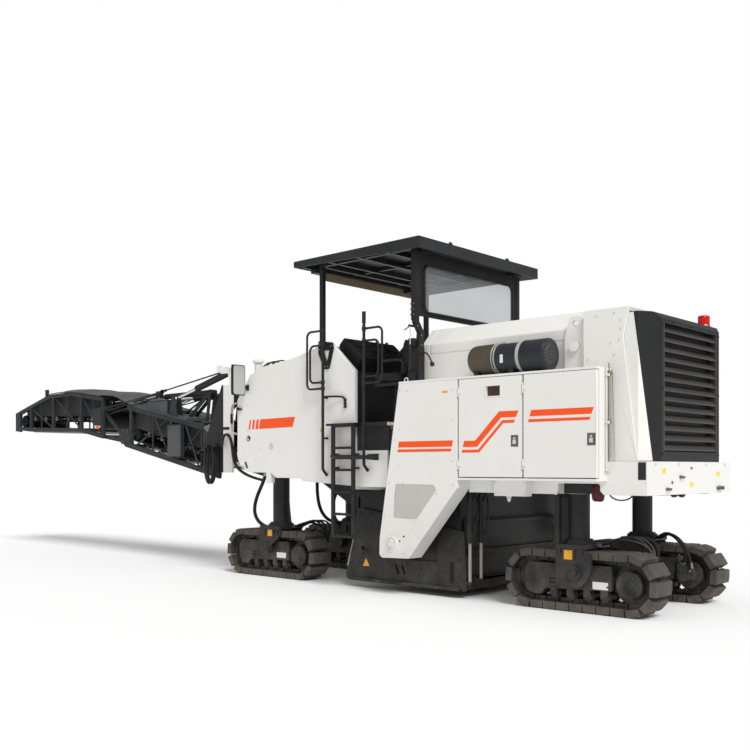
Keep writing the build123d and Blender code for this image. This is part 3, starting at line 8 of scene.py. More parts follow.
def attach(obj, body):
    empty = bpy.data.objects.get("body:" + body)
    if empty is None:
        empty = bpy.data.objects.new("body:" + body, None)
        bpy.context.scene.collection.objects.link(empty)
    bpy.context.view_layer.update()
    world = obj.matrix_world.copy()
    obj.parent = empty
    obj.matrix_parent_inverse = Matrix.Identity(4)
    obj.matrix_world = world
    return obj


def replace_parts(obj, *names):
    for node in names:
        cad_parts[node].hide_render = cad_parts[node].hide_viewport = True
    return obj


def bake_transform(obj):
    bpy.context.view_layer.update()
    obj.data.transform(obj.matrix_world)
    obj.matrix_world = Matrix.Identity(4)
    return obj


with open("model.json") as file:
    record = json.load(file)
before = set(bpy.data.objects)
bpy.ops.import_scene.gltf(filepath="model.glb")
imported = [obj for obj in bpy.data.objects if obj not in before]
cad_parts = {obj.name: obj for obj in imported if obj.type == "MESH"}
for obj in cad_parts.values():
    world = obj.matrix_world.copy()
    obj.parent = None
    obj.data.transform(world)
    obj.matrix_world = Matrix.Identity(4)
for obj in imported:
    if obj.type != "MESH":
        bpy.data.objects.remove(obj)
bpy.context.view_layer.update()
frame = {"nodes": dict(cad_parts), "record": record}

scene = bpy.context.scene
rearFace = -6.8475  # the machine's rear face in the row frame; places below are metres forward of it
print("frame loaded")


# camera, lights and floor
view = {
    "place": (-11.1275, 9.70, 1.523), "towards": (0.673, -0.7396, 0.0),
    "focal": 948.0, "horizon": 467.7, "size": 750.0,  # pixels
}
lens = bpy.data.cameras.new("camera")
lens.sensor_width = 36
lens.lens = view["focal"] / view["size"] * 36
lens.shift_y = (view["horizon"] - view["size"] / 2) / view["size"]
lens.clip_end = 300
camera = bpy.data.objects.new("camera", lens)
scene.collection.objects.link(camera)
camera.location = view["place"]
camera.rotation_euler = Vector(view["towards"]).to_track_quat("-Z", "Y").to_euler()
scene.camera = camera
scene.view_settings.view_transform = "Standard"

studio = {"sky": 0.56, "shine": 0.40, "sun": 2.35, "sunFrom": (-0.62, 0.30, 0.73), "softness": 22,
          "floor": 0.92}
world = bpy.data.worlds.new("studio")
scene.world = world
world.use_nodes = True
sky = world.node_tree
background = sky.nodes["Background"]
path = sky.nodes.new("ShaderNodeLightPath")
seen = sky.nodes.new("ShaderNodeMath")
seen.operation = "MAXIMUM"
sky.links.new(path.outputs["Is Camera Ray"], seen.inputs[0])
sky.links.new(path.outputs["Is Transmission Ray"], seen.inputs[1])
level = sky.nodes.new("ShaderNodeMapRange")
level.inputs["To Max"].default_value = 1.0
mirrored = sky.nodes.new("ShaderNodeMapRange")
mirrored.inputs["To Min"].default_value = studio["sky"]
mirrored.inputs["To Max"].default_value = studio["shine"]
sky.links.new(path.outputs["Is Glossy Ray"], mirrored.inputs["Value"])
sky.links.new(mirrored.outputs[0], level.inputs["To Min"])
sky.links.new(seen.outputs[0], level.inputs["Value"])
sky.links.new(level.outputs[0], background.inputs["Strength"])
background.inputs["Color"].default_value = (1, 1, 1, 1)
sunLamp = bpy.data.lights.new("sun", "SUN")
sunLamp.energy = studio["sun"]
sunLamp.angle = math.radians(studio["softness"])
sun = bpy.data.objects.new("sun", sunLamp)
sun.rotation_euler = Vector(studio["sunFrom"]).to_track_quat("Z", "Y").to_euler()
scene.collection.objects.link(sun)


# materials
def newMaterial(name):
    material = bpy.data.materials.new(name)
    material.use_nodes = True
    tree = material.node_tree
    return material, tree, tree.nodes["Principled BSDF"]


def noiseOn(tree, coordinates, scale, detail=4.0, roughness=0.6, distortion=0.0):
    noise = tree.nodes.new("ShaderNodeTexNoise")
    noise.inputs["Scale"].default_value = scale
    noise.inputs["Detail"].default_value = detail
    noise.inputs["Roughness"].default_value = roughness
    noise.inputs["Distortion"].default_value = distortion
    tree.links.new(coordinates, noise.inputs["Vector"])
    return noise.outputs["Fac"]


def mapped(tree, value, low, high, toLow, toHigh):
    span = tree.nodes.new("ShaderNodeMapRange")
    span.inputs["From Min"].default_value = low
    span.inputs["From Max"].default_value = high
    span.inputs["To Min"].default_value = toLow
    span.inputs["To Max"].default_value = toHigh
    tree.links.new(value, span.inputs["Value"])
    return span.outputs[0]


def multiplied(tree, first, second):
    node = tree.nodes.new("ShaderNodeMath")
    node.operation = "MULTIPLY"
    tree.links.new(first, node.inputs[0])
    tree.links.new(second, node.inputs[1])
    return node.outputs[0]


def mixedColour(tree, factor, first, second):
    mix = tree.nodes.new("ShaderNodeMix")
    mix.data_type = "RGBA"
    tree.links.new(factor, mix.inputs["Factor"])
    for socket, value in ((mix.inputs["A"], first), (mix.inputs["B"], second)):
        if isinstance(value, tuple):
            socket.default_value = (*value, 1)
        else:
            tree.links.new(value, socket)
    return mix.outputs["Result"]


def finish(name, colour, stain, rough=0.45, metal=0.0, shine=0.3, stainScale=1.4, stainAmount=0.5, dust=None,
           dustTop=1.2, dustAmount=0.5, grain=90.0, bump=0.12, bumpDepth=0.0008, roughSpread=0.08, wear=None,
           wearScale=22.0):
    # paint or metal with stains, dust that thins out with height, fine grain and worn spots
    material, tree, surface = newMaterial(name)
    place = tree.nodes.new("ShaderNodeTexCoord").outputs["Object"]
    stains = mapped(tree, noiseOn(tree, place, stainScale, 6, 0.65), 0.42, 0.75, 0.0, stainAmount)
    result = mixedColour(tree, stains, colour, stain)
    if wear:
        worn = mapped(tree, noiseOn(tree, place, wearScale, 8, 0.7, 0.4), 0.62, 0.70, 0.0, 0.85)
        result = mixedColour(tree, worn, result, wear)
    if dust:
        split = tree.nodes.new("ShaderNodeSeparateXYZ")
        tree.links.new(place, split.inputs[0])
        height = mapped(tree, split.outputs["Z"], dustTop, 0.0, 0.0, 1.0)
        cloud = mapped(tree, noiseOn(tree, place, 5.0, 8, 0.7), 0.35, 0.70, 0.0, dustAmount)
        result = mixedColour(tree, multiplied(tree, height, cloud), result, dust)
    tree.links.new(result, surface.inputs["Base Color"])
    fine = noiseOn(tree, place, grain, 3, 0.6)
    tree.links.new(mapped(tree, fine, 0.3, 0.7, rough - roughSpread, rough + roughSpread),
                   surface.inputs["Roughness"])
    surface.inputs["Metallic"].default_value = metal
    surface.inputs["Specular IOR Level"].default_value = shine
    relief = tree.nodes.new("ShaderNodeBump")
    relief.inputs["Strength"].default_value = bump
    relief.inputs["Distance"].default_value = bumpDepth
    tree.links.new(fine, relief.inputs["Height"])
    tree.links.new(relief.outputs[0], surface.inputs["Normal"])
    return material


soil = (0.20, 0.17, 0.13)
whitePaint = finish("whitePaint", (0.80, 0.79, 0.755), (0.70, 0.68, 0.63), 0.34, stainAmount=0.28, dust=soil,
                    dustTop=1.3, dustAmount=0.35, grain=140, bump=0.05)
darkPaint = finish("darkPaint", (0.0125, 0.013, 0.0145), (0.026, 0.025, 0.024), 0.44, stainAmount=0.6,
                   dust=soil, dustTop=1.1, dustAmount=0.30, grain=120, bump=0.10)
greyPaint = finish("greyPaint", (0.017, 0.019, 0.022), (0.036, 0.036, 0.036), 0.48, stainAmount=0.6,
                   dust=(0.16, 0.15, 0.13), dustTop=5.0, dustAmount=0.16, grain=100, bump=0.12)
trackSteel = finish("trackSteel", (0.016, 0.0165, 0.018), (0.034, 0.032, 0.029), 0.50, stainAmount=0.7,
                    dust=soil, dustTop=0.9, dustAmount=0.55, grain=70, bump=0.2, wear=(0.085, 0.078, 0.070))
padRubber = finish("padRubber", (0.058, 0.052, 0.046), (0.105, 0.093, 0.079), 0.78, stainScale=6,
                   stainAmount=0.8, dust=(0.21, 0.18, 0.145), dustTop=0.9, dustAmount=0.5, grain=45,
                   bump=0.5, bumpDepth=0.003)
beltRubber = finish("beltRubber", (0.022, 0.022, 0.023), (0.07, 0.065, 0.06), 0.72, stainScale=3, grain=60,
                    bump=0.3, bumpDepth=0.002)
cutterSteel = finish("cutterSteel", (0.060, 0.055, 0.050), (0.13, 0.085, 0.055), 0.52, metal=0.7,
                     stainScale=5, stainAmount=0.8, dust=soil, dustTop=1.2, dustAmount=0.6, grain=60,
                     bump=0.4, bumpDepth=0.002, wear=(0.22, 0.20, 0.18))
chromeSteel = finish("chromeSteel", (0.78, 0.78, 0.78), (0.62, 0.62, 0.62), 0.14, metal=1.0, shine=0.5,
                     stainAmount=0.3, grain=160, bump=0.02, roughSpread=0.05)
boltSteel = finish("boltSteel", (0.36, 0.35, 0.33), (0.20, 0.18, 0.16), 0.38, metal=0.9, stainScale=12,
                   grain=150, bump=0.1)
hoseRubber = finish("hoseRubber", (0.014, 0.014, 0.015), (0.04, 0.038, 0.036), 0.50, stainScale=8, grain=220,
                    bump=0.4, bumpDepth=0.001)
louvreGrey = finish("louvreGrey", (0.055, 0.053, 0.049), (0.075, 0.070, 0.063), 0.42, stainAmount=0.6,
                    grain=120, bump=0.08)
orangeStripe = finish("orangeStripe", (0.93, 0.095, 0.012), (0.84, 0.085, 0.011), 0.36, stainAmount=0.25,
                      grain=140, bump=0.03)
vinyl = finish("seatVinyl", (0.018, 0.018, 0.019), (0.035, 0.034, 0.033), 0.56, stainScale=6, grain=320,
               bump=0.5, bumpDepth=0.0012)
moulded = finish("mouldedBlack", (0.016, 0.016, 0.017), (0.032, 0.031, 0.030), 0.45, grain=260, bump=0.3)
canisterBrown = finish("canisterBrown", (0.070, 0.056, 0.036), (0.115, 0.092, 0.062), 0.36, stainScale=4,
                       stainAmount=0.6, grain=130, bump=0.06)
enginePaint = finish("enginePaint", (0.09, 0.09, 0.085), (0.05, 0.05, 0.05), 0.5, grain=80, bump=0.2)
plateYellow = finish("plateYellow", (0.80, 0.38, 0.03), (0.66, 0.30, 0.03), 0.45, grain=150, bump=0.03)
plateWhite = finish("plateWhite", (0.76, 0.76, 0.74), (0.62, 0.60, 0.56), 0.45, grain=150, bump=0.03)
fasciaTan = finish("fasciaTan", (0.30, 0.24, 0.15), (0.20, 0.16, 0.10), 0.6, grain=120, bump=0.1)


def clearMaterial(name, colour, rough, transmission, ior=1.45, alpha=1.0):
    material, tree, surface = newMaterial(name)
    place = tree.nodes.new("ShaderNodeTexCoord").outputs["Object"]
    fine = noiseOn(tree, place, 9.0, 5, 0.6)
    tree.links.new(mixedColour(tree, mapped(tree, fine, 0.4, 0.8, 0.0, 0.2), colour,
                               tuple(c * 0.85 for c in colour)), surface.inputs["Base Color"])
    tree.links.new(mapped(tree, fine, 0.3, 0.8, rough, rough + 0.05), surface.inputs["Roughness"])
    surface.inputs["Transmission Weight"].default_value = transmission
    surface.inputs["IOR"].default_value = ior
    surface.inputs["Alpha"].default_value = alpha
    return material


windowGlass = clearMaterial("windowGlass", (0.30, 0.32, 0.33), 0.04, 0.0, 1.45, 0.38)
redLens = clearMaterial("redLens", (0.75, 0.012, 0.010), 0.08, 0.25)

floorMesh = bpy.data.meshes.new("floor")
floorMesh.from_pydata([(-90, -90, -0.002), (90, -90, -0.002), (90, 90, -0.002), (-90, 90, -0.002)], [],
                      [(0, 1, 2, 3)])
floor = bpy.data.objects.new("floor", floorMesh)
scene.collection.objects.link(floor)
floorMaterial, _, floorSurface = newMaterial("paleFloor")
floorSurface.inputs["Base Color"].default_value = (studio["floor"], studio["floor"], studio["floor"], 1)
floorSurface.inputs["Roughness"].default_value = 0.9
floorSurface.inputs["Specular IOR Level"].default_value = 0.0
floorMesh.materials.append(floorMaterial)
print("camera, lights and materials made")


# directions, the machine's two sides, and the side faces that pieces are set on
leftward, rightward, upward, downward, rearward = (0, 1, 0), (0, -1, 0), (0, 0, 1), (0, 0, -1), (-1, 0, 0)
hands = ((1, "left"), (-1, "right"))
sideFace = {"cover": 1.250, "body": 1.100, "cooler": 0.930, "plate_left": 0.8803, "plate_right": 1.2303}


def facing(hand):
    return leftward if hand > 0 else rightward


# making and placing meshes
def at(x, y, z):
    return Vector((rearFace + x, y, z))


def sidePlane(y):
    return Matrix(((1, 0, 0, rearFace), (0, 0, -1, y), (0, 1, 0, 0), (0, 0, 0, 1)))


def sharpEdges(faces, angle):
    edges = {edge for face in faces for edge in face.edges}
    return [edge for edge in edges
            if len(edge.link_faces) == 2 and edge.calc_face_angle(0) > math.radians(angle)]


def addPrism(bm, outline, depth, matrix, bevel=0.0):
    # outline in the plane of the matrix, pushed along its third axis
    if sum(a[0] * b[1] - b[0] * a[1] for a, b in zip(outline, outline[1:] + outline[:1])) < 0:
        outline = outline[::-1]
    near = [bm.verts.new(matrix @ Vector((u, v, 0))) for u, v in outline]
    far = [bm.verts.new(matrix @ Vector((u, v, depth))) for u, v in outline]
    faces = [bm.faces.new(near[::-1]), bm.faces.new(far)]
    for i in range(len(near)):
        j = (i + 1) % len(near)
        faces.append(bm.faces.new((near[i], near[j], far[j], far[i])))
    if bevel:
        bmesh.ops.bevel(bm, geom=sharpEdges(faces, 25), offset=bevel, segments=2, profile=0.5, affect="EDGES")


def addPlate(bm, outline, yLow, yHigh, bevel=0.0):
    addPrism(bm, outline, yHigh - yLow, sidePlane(yHigh), bevel)


def addBox(bm, x0, x1, y0, y1, z0, z1, bevel=0.003):
    addPrism(bm, [(x0, z0), (x1, z0), (x1, z1), (x0, z1)], y1 - y0, sidePlane(y1), bevel)


def sidePlate(bm, outline, near, far, hand, bevel=0.0):
    # plate on either side, near and far as distances from the machine's middle
    low, high = sorted((hand * near, hand * far))
    addPlate(bm, outline, low, high, bevel)


def sideBox(bm, x0, x1, near, far, z0, z1, hand, bevel=0.003):
    low, high = sorted((hand * near, hand * far))
    addBox(bm, x0, x1, low, high, z0, z1, bevel)


def anglesRound(count, start=0.0):
    return [start + 2 * math.pi * i / count for i in range(count)]


def roundedOutline(low, high, radius, steps):
    # rectangle from low to high, both centres of its corner rounds, with a point at each step in degrees
    corners = ((high[0], high[1]), (low[0], high[1]), (low[0], low[1]), (high[0], low[1]))
    angles = [(corner, math.radians(90 * i + step)) for i, corner in enumerate(corners) for step in steps]
    return [(corner[0] + radius * math.cos(a), corner[1] + radius * math.sin(a)) for corner, a in angles]


def addRod(bm, start, end, radius, sides=16, bevel=0.0):
    middle, way = (start + end) / 2, end - start
    matrix = Matrix.Translation(middle) @ way.to_track_quat("Z", "Y").to_matrix().to_4x4()
    made = bmesh.ops.create_cone(bm, cap_ends=True, segments=sides, radius1=radius, radius2=radius,
                                 depth=way.length, matrix=matrix)
    if bevel:
        faces = {face for vert in made["verts"] for face in vert.link_faces}
        bmesh.ops.bevel(bm, geom=sharpEdges(faces, 50), offset=bevel, segments=2, profile=0.5, affect="EDGES")


def addLathe(bm, profile, start, way, sides=32):
    # closed turned shape: profile is (distance along the axis, radius), ending on the axis or capped
    turn = Vector(way).to_track_quat("Z", "Y").to_matrix()
    rings = []
    hollow = profile[0] == profile[-1]  # a ring about the axis, with no end faces
    for along, radius in profile[:-1] if hollow else profile:
        if radius < 1e-6:
            rings.append([bm.verts.new(start + turn @ Vector((0, 0, along)))])
            continue
        circle = [Vector((radius * math.cos(a), radius * math.sin(a), along)) for a in anglesRound(sides)]
        rings.append([bm.verts.new(start + turn @ spot) for spot in circle])
    for low, high in zip(rings, rings[1:] + rings[:1] if hollow else rings[1:]):
        for i in range(sides):
            j = (i + 1) % sides
            corners = [low[i % len(low)], low[j % len(low)], high[j % len(high)], high[i % len(high)]]
            unique = list(dict.fromkeys(corners))
            if len(unique) > 2:
                bm.faces.new(unique)
    for ring, flip in ((rings[0], True), (rings[-1], False)):
        if len(ring) > 1 and not hollow:
            bm.faces.new(ring[::-1] if flip else ring)


def addTube(bm, points, radius, sides=10, order=3):
    # round tube along the smooth curve through a NURBS route
    curve = bpy.data.curves.new("route", "CURVE")
    curve.dimensions = "3D"
    curve.bevel_depth = radius
    curve.bevel_resolution = max(1, sides // 4 - 1)
    curve.use_fill_caps = True
    spline = curve.splines.new("NURBS")
    spline.points.add(len(points) - 1)
    for point, spot in zip(spline.points, points):
        point.co = (*spot, 1)
    spline.order_u = min(order, len(points))
    spline.use_endpoint_u = True
    spline.resolution_u = 6
    holder = bpy.data.objects.new("route", curve)
    scene.collection.objects.link(holder)
    bpy.context.view_layer.update()
    mesh = bpy.data.meshes.new_from_object(holder.evaluated_get(bpy.context.evaluated_depsgraph_get()))
    bm.from_mesh(mesh)
    bpy.data.objects.remove(holder)
    bpy.data.meshes.remove(mesh)
    bpy.data.curves.remove(curve)


def dressedObject(mesh, name, material, smoothAngle):
    mesh.materials.clear()
    mesh.materials.append(material)
    mesh.polygons.foreach_set("use_smooth", [True] * len(mesh.polygons))
    mesh.set_sharp_from_angle(angle=math.radians(smoothAngle))
    piece = bpy.data.objects.new(name, mesh)
    scene.collection.objects.link(piece)
    return piece


def meshFrom(bm, name):
    bmesh.ops.recalc_face_normals(bm, faces=bm.faces)
    mesh = bpy.data.meshes.new(name)
    bm.to_mesh(mesh)
    bm.free()
    return mesh


def showPiece(mesh, name, body, material, smoothAngle=35):
    piece = dressedObject(mesh, name, material, smoothAngle)
    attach(piece, body)
    return piece


def makePiece(bm, name, body, material, smoothAngle=35):
    return showPiece(meshFrom(bm, name), name, body, material, smoothAngle)


def makeBlend(bm, name, material, smoothAngle=40):
    # a piece that spans two bodies, so it has no parent
    piece = dressedObject(meshFrom(bm, name), name, material, smoothAngle)
    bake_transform(piece)
    return piece


bodyOf = {node: body for body, nodes in frame["record"]["behaviour"]["bodies"].items() for node in nodes}

# flat sides with holes keep their triangles
mergeWithin = 0.00004
pierced = (
    "front_body", "door_rear_left", "door_rear_right", "door_front_left", "door_front_right", "belt_cover",
)


def softenNode(node, width, material):
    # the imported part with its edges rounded, standing for the plain one
    bm = bmesh.new()
    bm.from_mesh(frame["nodes"][node].data)
    bmesh.ops.remove_doubles(bm, verts=bm.verts, dist=mergeWithin)
    if node not in pierced:
        bmesh.ops.dissolve_limit(bm, angle_limit=math.radians(0.6), verts=bm.verts, edges=bm.edges)
    edges = [edge for edge in sharpEdges(bm.faces, 28) if edge.calc_length() > 3.2 * width]
    bmesh.ops.bevel(bm, geom=edges, offset=width, segments=2, profile=0.55, affect="EDGES",
                    clamp_overlap=False)
    bmesh.ops.remove_doubles(bm, verts=bm.verts, dist=mergeWithin)
    mesh = bpy.data.meshes.new(node + "_shell")  # its faces already point outwards
    bm.to_mesh(mesh)
    bm.free()
    piece = showPiece(mesh, node + "_shell", bodyOf[node], material, 30)
    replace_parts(piece, node)
    even = piece.modifiers.new("even", "WEIGHTED_NORMAL")
    even.mode, even.weight, even.keep_sharp = "FACE_AREA", 60, True
    bpy.context.view_layer.update()
    weighed = bpy.data.meshes.new_from_object(piece.evaluated_get(bpy.context.evaluated_depsgraph_get()))
    piece.modifiers.clear()
    piece.data = weighed
    return piece


# repeated shapes: one tree sets a shape on every point, turned by its facing and along directions
def repeatTree():
    tree = bpy.data.node_groups.new("repeatShape", "GeometryNodeTree")
    tree.interface.new_socket(name="Geometry", in_out="INPUT", socket_type="NodeSocketGeometry")
    tree.interface.new_socket(name="Shape", in_out="INPUT", socket_type="NodeSocketObject")
    tree.interface.new_socket(name="Finish", in_out="INPUT", socket_type="NodeSocketMaterial")
    tree.interface.new_socket(name="Size", in_out="INPUT", socket_type="NodeSocketFloat").default_value = 1.0
    tree.interface.new_socket(name="Geometry", in_out="OUTPUT", socket_type="NodeSocketGeometry")
    entry, out = tree.nodes.new("NodeGroupInput"), tree.nodes.new("NodeGroupOutput")
    shape = tree.nodes.new("GeometryNodeObjectInfo")
    tree.links.new(entry.outputs["Shape"], shape.inputs["Object"])
    turned = None
    for label, axis in (("facing", "Z"), ("along", "X")):
        field = tree.nodes.new("GeometryNodeInputNamedAttribute")
        field.data_type = "FLOAT_VECTOR"
        field.inputs["Name"].default_value = label
        align = tree.nodes.new("FunctionNodeAlignRotationToVector")
        align.axis = axis
        align.pivot_axis = "AUTO" if axis == "Z" else "Z"
        tree.links.new(field.outputs["Attribute"], align.inputs["Vector"])
        if turned:
            tree.links.new(turned, align.inputs["Rotation"])
        turned = align.outputs["Rotation"]
    stretch = tree.nodes.new("GeometryNodeInputNamedAttribute")
    stretch.data_type = "FLOAT_VECTOR"
    stretch.inputs["Name"].default_value = "stretch"
    scaled = tree.nodes.new("ShaderNodeVectorMath")
    scaled.operation = "SCALE"
    tree.links.new(stretch.outputs["Attribute"], scaled.inputs[0])
    tree.links.new(entry.outputs["Size"], scaled.inputs["Scale"])
    instance = tree.nodes.new("GeometryNodeInstanceOnPoints")
    tree.links.new(entry.outputs["Geometry"], instance.inputs["Points"])
    tree.links.new(shape.outputs["Geometry"], instance.inputs["Instance"])
    tree.links.new(turned, instance.inputs["Rotation"])
    tree.links.new(scaled.outputs[0], instance.inputs["Scale"])
    realize = tree.nodes.new("GeometryNodeRealizeInstances")
    tree.links.new(instance.outputs["Instances"], realize.inputs["Geometry"])
    dress = tree.nodes.new("GeometryNodeSetMaterial")
    tree.links.new(realize.outputs["Geometry"], dress.inputs["Geometry"])
    tree.links.new(entry.outputs["Finish"], dress.inputs["Material"])
    tree.links.new(dress.outputs["Geometry"], out.inputs["Geometry"])
    return tree


repeater = repeatTree()
inputId = {item.name: item.identifier for item in repeater.interface.items_tree if item.in_out == "INPUT"}
baseShapes = []  # removed once every repeat is made


def shapeFrom(bm):
    shape = bpy.data.objects.new("shape", meshFrom(bm, "shape"))
    scene.collection.objects.link(shape)
    baseShapes.append(shape)
    return shape


def repeatShape(name, shape, spots, body, material, size=1.0, smoothAngle=35):
    # spots are (point, facing, along, stretch)
    mesh = bpy.data.meshes.new(name)
    mesh.from_pydata([spot[0] for spot in spots], [], [])
    for label, index, usual in (("facing", 1, (0, 0, 1)), ("along", 2, (1, 0, 0)), ("stretch", 3, (1, 1, 1))):
        field = mesh.attributes.new(label, "FLOAT_VECTOR", "POINT")
        values = [c for spot in spots for c in (spot[index] if len(spot) > index and spot[index] else usual)]
        field.data.foreach_set("vector", values)
    holder = bpy.data.objects.new(name, mesh)
    scene.collection.objects.link(holder)
    modifier = holder.modifiers.new("repeat", "NODES")
    modifier.node_group = repeater
    modifier[inputId["Shape"]] = shape
    modifier[inputId["Finish"]] = material
    modifier[inputId["Size"]] = size
    bpy.context.view_layer.update()
    made = bpy.data.meshes.new_from_object(holder.evaluated_get(bpy.context.evaluated_depsgraph_get()))
    holder.modifiers.clear()
    bpy.data.objects.remove(holder)
    made.name = name
    return showPiece(made, name, body, material, smoothAngle)


def unitBox(x, y, z, bevel=0.0, base=0.0):
    # box centred in x and y, standing on z = base
    bm = bmesh.new()
    addPrism(bm, [(-x / 2, -y / 2), (x / 2, -y / 2), (x / 2, y / 2), (-x / 2, y / 2)], z,
             Matrix.Translation((0, 0, base)), bevel)
    return shapeFrom(bm)


def boltShape():
    bm = bmesh.new()
    bmesh.ops.create_cone(bm, cap_ends=True, segments=12, radius1=0.0155, radius2=0.0150, depth=0.003,
                          matrix=Matrix.Translation((0, 0, 0.0015)))
    bmesh.ops.create_cone(bm, cap_ends=True, segments=6, radius1=0.0115, radius2=0.0112, depth=0.008,
                          matrix=Matrix.Translation((0, 0, 0.007)))
    return shapeFrom(bm)


bolt = boltShape()
boltSpots = {}


def addBolts(body, material, way, points, size=1.0):
    spots = [(point, way, (1, 0, 0.2), (size, size, size)) for point in points]
    boltSpots.setdefault((body, material.name), []).extend(spots)


def addSideBolts(body, material, hand, face, places, size=1.0):
    # bolts at (x, z) places on a side face, given by its distance from the machine's middle
    addBolts(body, material, facing(hand), [at(x, hand * face, z) for x, z in places], size)


def between(start, end, count):
    return [start.lerp(end, i / (count - 1)) for i in range(count)]


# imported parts: finish for each, and the width that its edges are rounded by
nodeFinish = (
    (whitePaint, "white_paint", {
        "main_frame": 0.005, "front_body": 0.012, "engine_cabinet": 0.004, "belt_cover": 0.007,
        "side_cover_right": 0.007, "hood_sides": 0.005, "rear_body": 0.008, "lifting_lugs": 0.004,
        "door_front_left": 0.006, "door_rear_left": 0.006, "door_front_right": 0.006,
        "door_rear_right": 0.006, "hood_lid": 0.014, "slew_frame": 0.005,
    }),
    (darkPaint, "dark_paint", {
        "cooler_housing": 0.010, "console": 0.014, "canopy_posts": 0.006, "ladder_left": 0,
        "ladder_right": 0, "drum_housing": 0.006, "primary_conveyor": 0.006, "side_plate_left": 0.005,
        "side_plate_right": 0.005, "moldboard": 0.004, "lift_barrels": 0, "fold_barrels": 0,
    }),
    (louvreGrey, "dark_paint", {"cooler_louvres": 0}),
    (greyPaint, "grey_paint", {"canopy_roof": 0.008, "conveyor_rear": 0, "conveyor_front": 0}),
    (chromeSteel, "chrome", {"lift_rods": 0, "fold_rods": 0}),
    (trackSteel, "track_steel", {
        "crawler_rear_left": 0, "crawler_rear_right": 0, "crawler_front_left": 0,
        "crawler_front_right": 0,
    }),
    (padRubber, "pad_rubber", {
        "track_rear_left": 0, "track_rear_right": 0, "track_front_left": 0, "track_front_right": 0,
    }),
    (beltRubber, "belt_rubber", {"belt_rear": 0, "belt_front": 0}),
    (cutterSteel, "cutter_steel", {"milling_drum": 0}),
    (windowGlass, "glass", {"rear_glass": 0}),
    (redLens, "red_lens", {"beacon": 0}),
    (vinyl, "seat_vinyl", {"seats": 0}),
    (moulded, "mirror_shell", {"mirror_left": 0.012, "mirror_right": 0.012}),
    (canisterBrown, "canister", {"air_cleaner": 0}),
    (enginePaint, "engine_paint", {"engine_block": 0}),
)
for material, slotName, widths in nodeFinish:
    for node, width in widths.items():
        frame["nodes"][node].data.materials.clear()
        frame["nodes"][node].data.materials.append(material)
        if width:
            softenNode(node, width, material)
print("packed parts finished and their edges rounded")


# stripes, cut from sheet, on both sides
stripe = {"lift": 0.0015, "sink": 0.001}
sideStripes = [
    ("stripe_cover_", ("chassis", "chassis"), sideFace["cover"],
     [[(3.030, 1.830), (2.228, 1.830), (2.240, 1.760), (3.040, 1.760)],
      [(3.045, 1.738), (2.248, 1.738), (2.256, 1.706), (3.050, 1.706)]]),
    ("stripe_front_door_", ("door_front_left", "door_front_right"), sideFace["cover"],
     [[(2.073, 1.820), (1.922, 1.820), (1.603, 2.130), (1.354, 2.130), (1.385, 2.062),
       (1.577, 2.062), (1.895, 1.752), (2.088, 1.752)],
      [(2.096, 1.722), (1.880, 1.722), (1.560, 2.034), (1.397, 2.034), (1.410, 2.002),
       (1.548, 2.002), (1.866, 1.690), (2.106, 1.690)]]),
    ("stripe_rear_door_", ("door_rear_left", "door_rear_right"), sideFace["cover"],
     [[(1.195, 2.128), (0.462, 2.128), (0.490, 2.062), (1.218, 2.062)],
      [(1.226, 2.032), (0.498, 2.032), (0.512, 2.002), (1.236, 2.002)]]),
    ("stripe_body_", ("chassis", "chassis"), sideFace["body"],
     [[(5.682, 2.190), (4.980, 2.200), (5.029, 2.066), (5.715, 2.058)],
      [(5.759, 2.188), (5.711, 2.189), (5.728, 2.058), (5.786, 2.058)],
      [(5.838, 2.187), (5.794, 2.188), (5.811, 2.057), (5.857, 2.057)],
      [(5.905, 2.186), (5.874, 2.187), (5.898, 2.056), (5.932, 2.056)]]),
]
for name, bodies, yFace, outlines in sideStripes:
    for (hand, word), body in zip(hands, bodies):
        bm = bmesh.new()
        for outline in outlines:
            sidePlate(bm, outline, yFace - stripe["sink"], yFace + stripe["lift"], hand)
        makePiece(bm, name + word, body, orangeStripe)
print("stripes made")


# crawlers: shoes and links round each loop, hub covers, pivot plates, hoses to the motors
track = {
    "middle": 0.73, "axle": 0.325, "span": 1.160, "loop": 0.245, "pads": 24, "shoe": (0.156, 0.326, 0.014),
    "link": (0.134, 0.018, 0.048), "linkGap": 0.072, "linkSink": 0.028, "frameFace": 0.140, "cap": 0.223,
    "capHigh": 0.417, "motor": 0.290, "hose": 0.014, "hoseEnd": 0.018,
}
loopLength = 2 * track["span"] + 2 * math.pi * track["loop"]


def loopPlace(distance):
    # place and outward angle on the loop, seen from the side
    distance %= loopLength
    span, radius = track["span"], track["loop"]
    turn = math.pi * radius
    if distance < span:
        return distance - span / 2, radius, math.pi / 2
    distance -= span
    if distance < turn:
        angle = math.pi / 2 - distance / radius
        return span / 2 + radius * math.cos(angle), radius * math.sin(angle), angle
    distance -= turn
    if distance < span:
        return span / 2 - distance, -radius, -math.pi / 2
    angle = -math.pi / 2 - (distance - span) / radius
    return -span / 2 + radius * math.cos(angle), radius * math.sin(angle), angle


def ringSpots(centre, way, radius, count, start=0.0):
    turn = Vector(way).to_track_quat("Z", "Y").to_matrix()
    circle = [Vector((radius * math.cos(a), radius * math.sin(a), 0)) for a in anglesRound(count, start)]
    return [centre + turn @ spot for spot in circle]


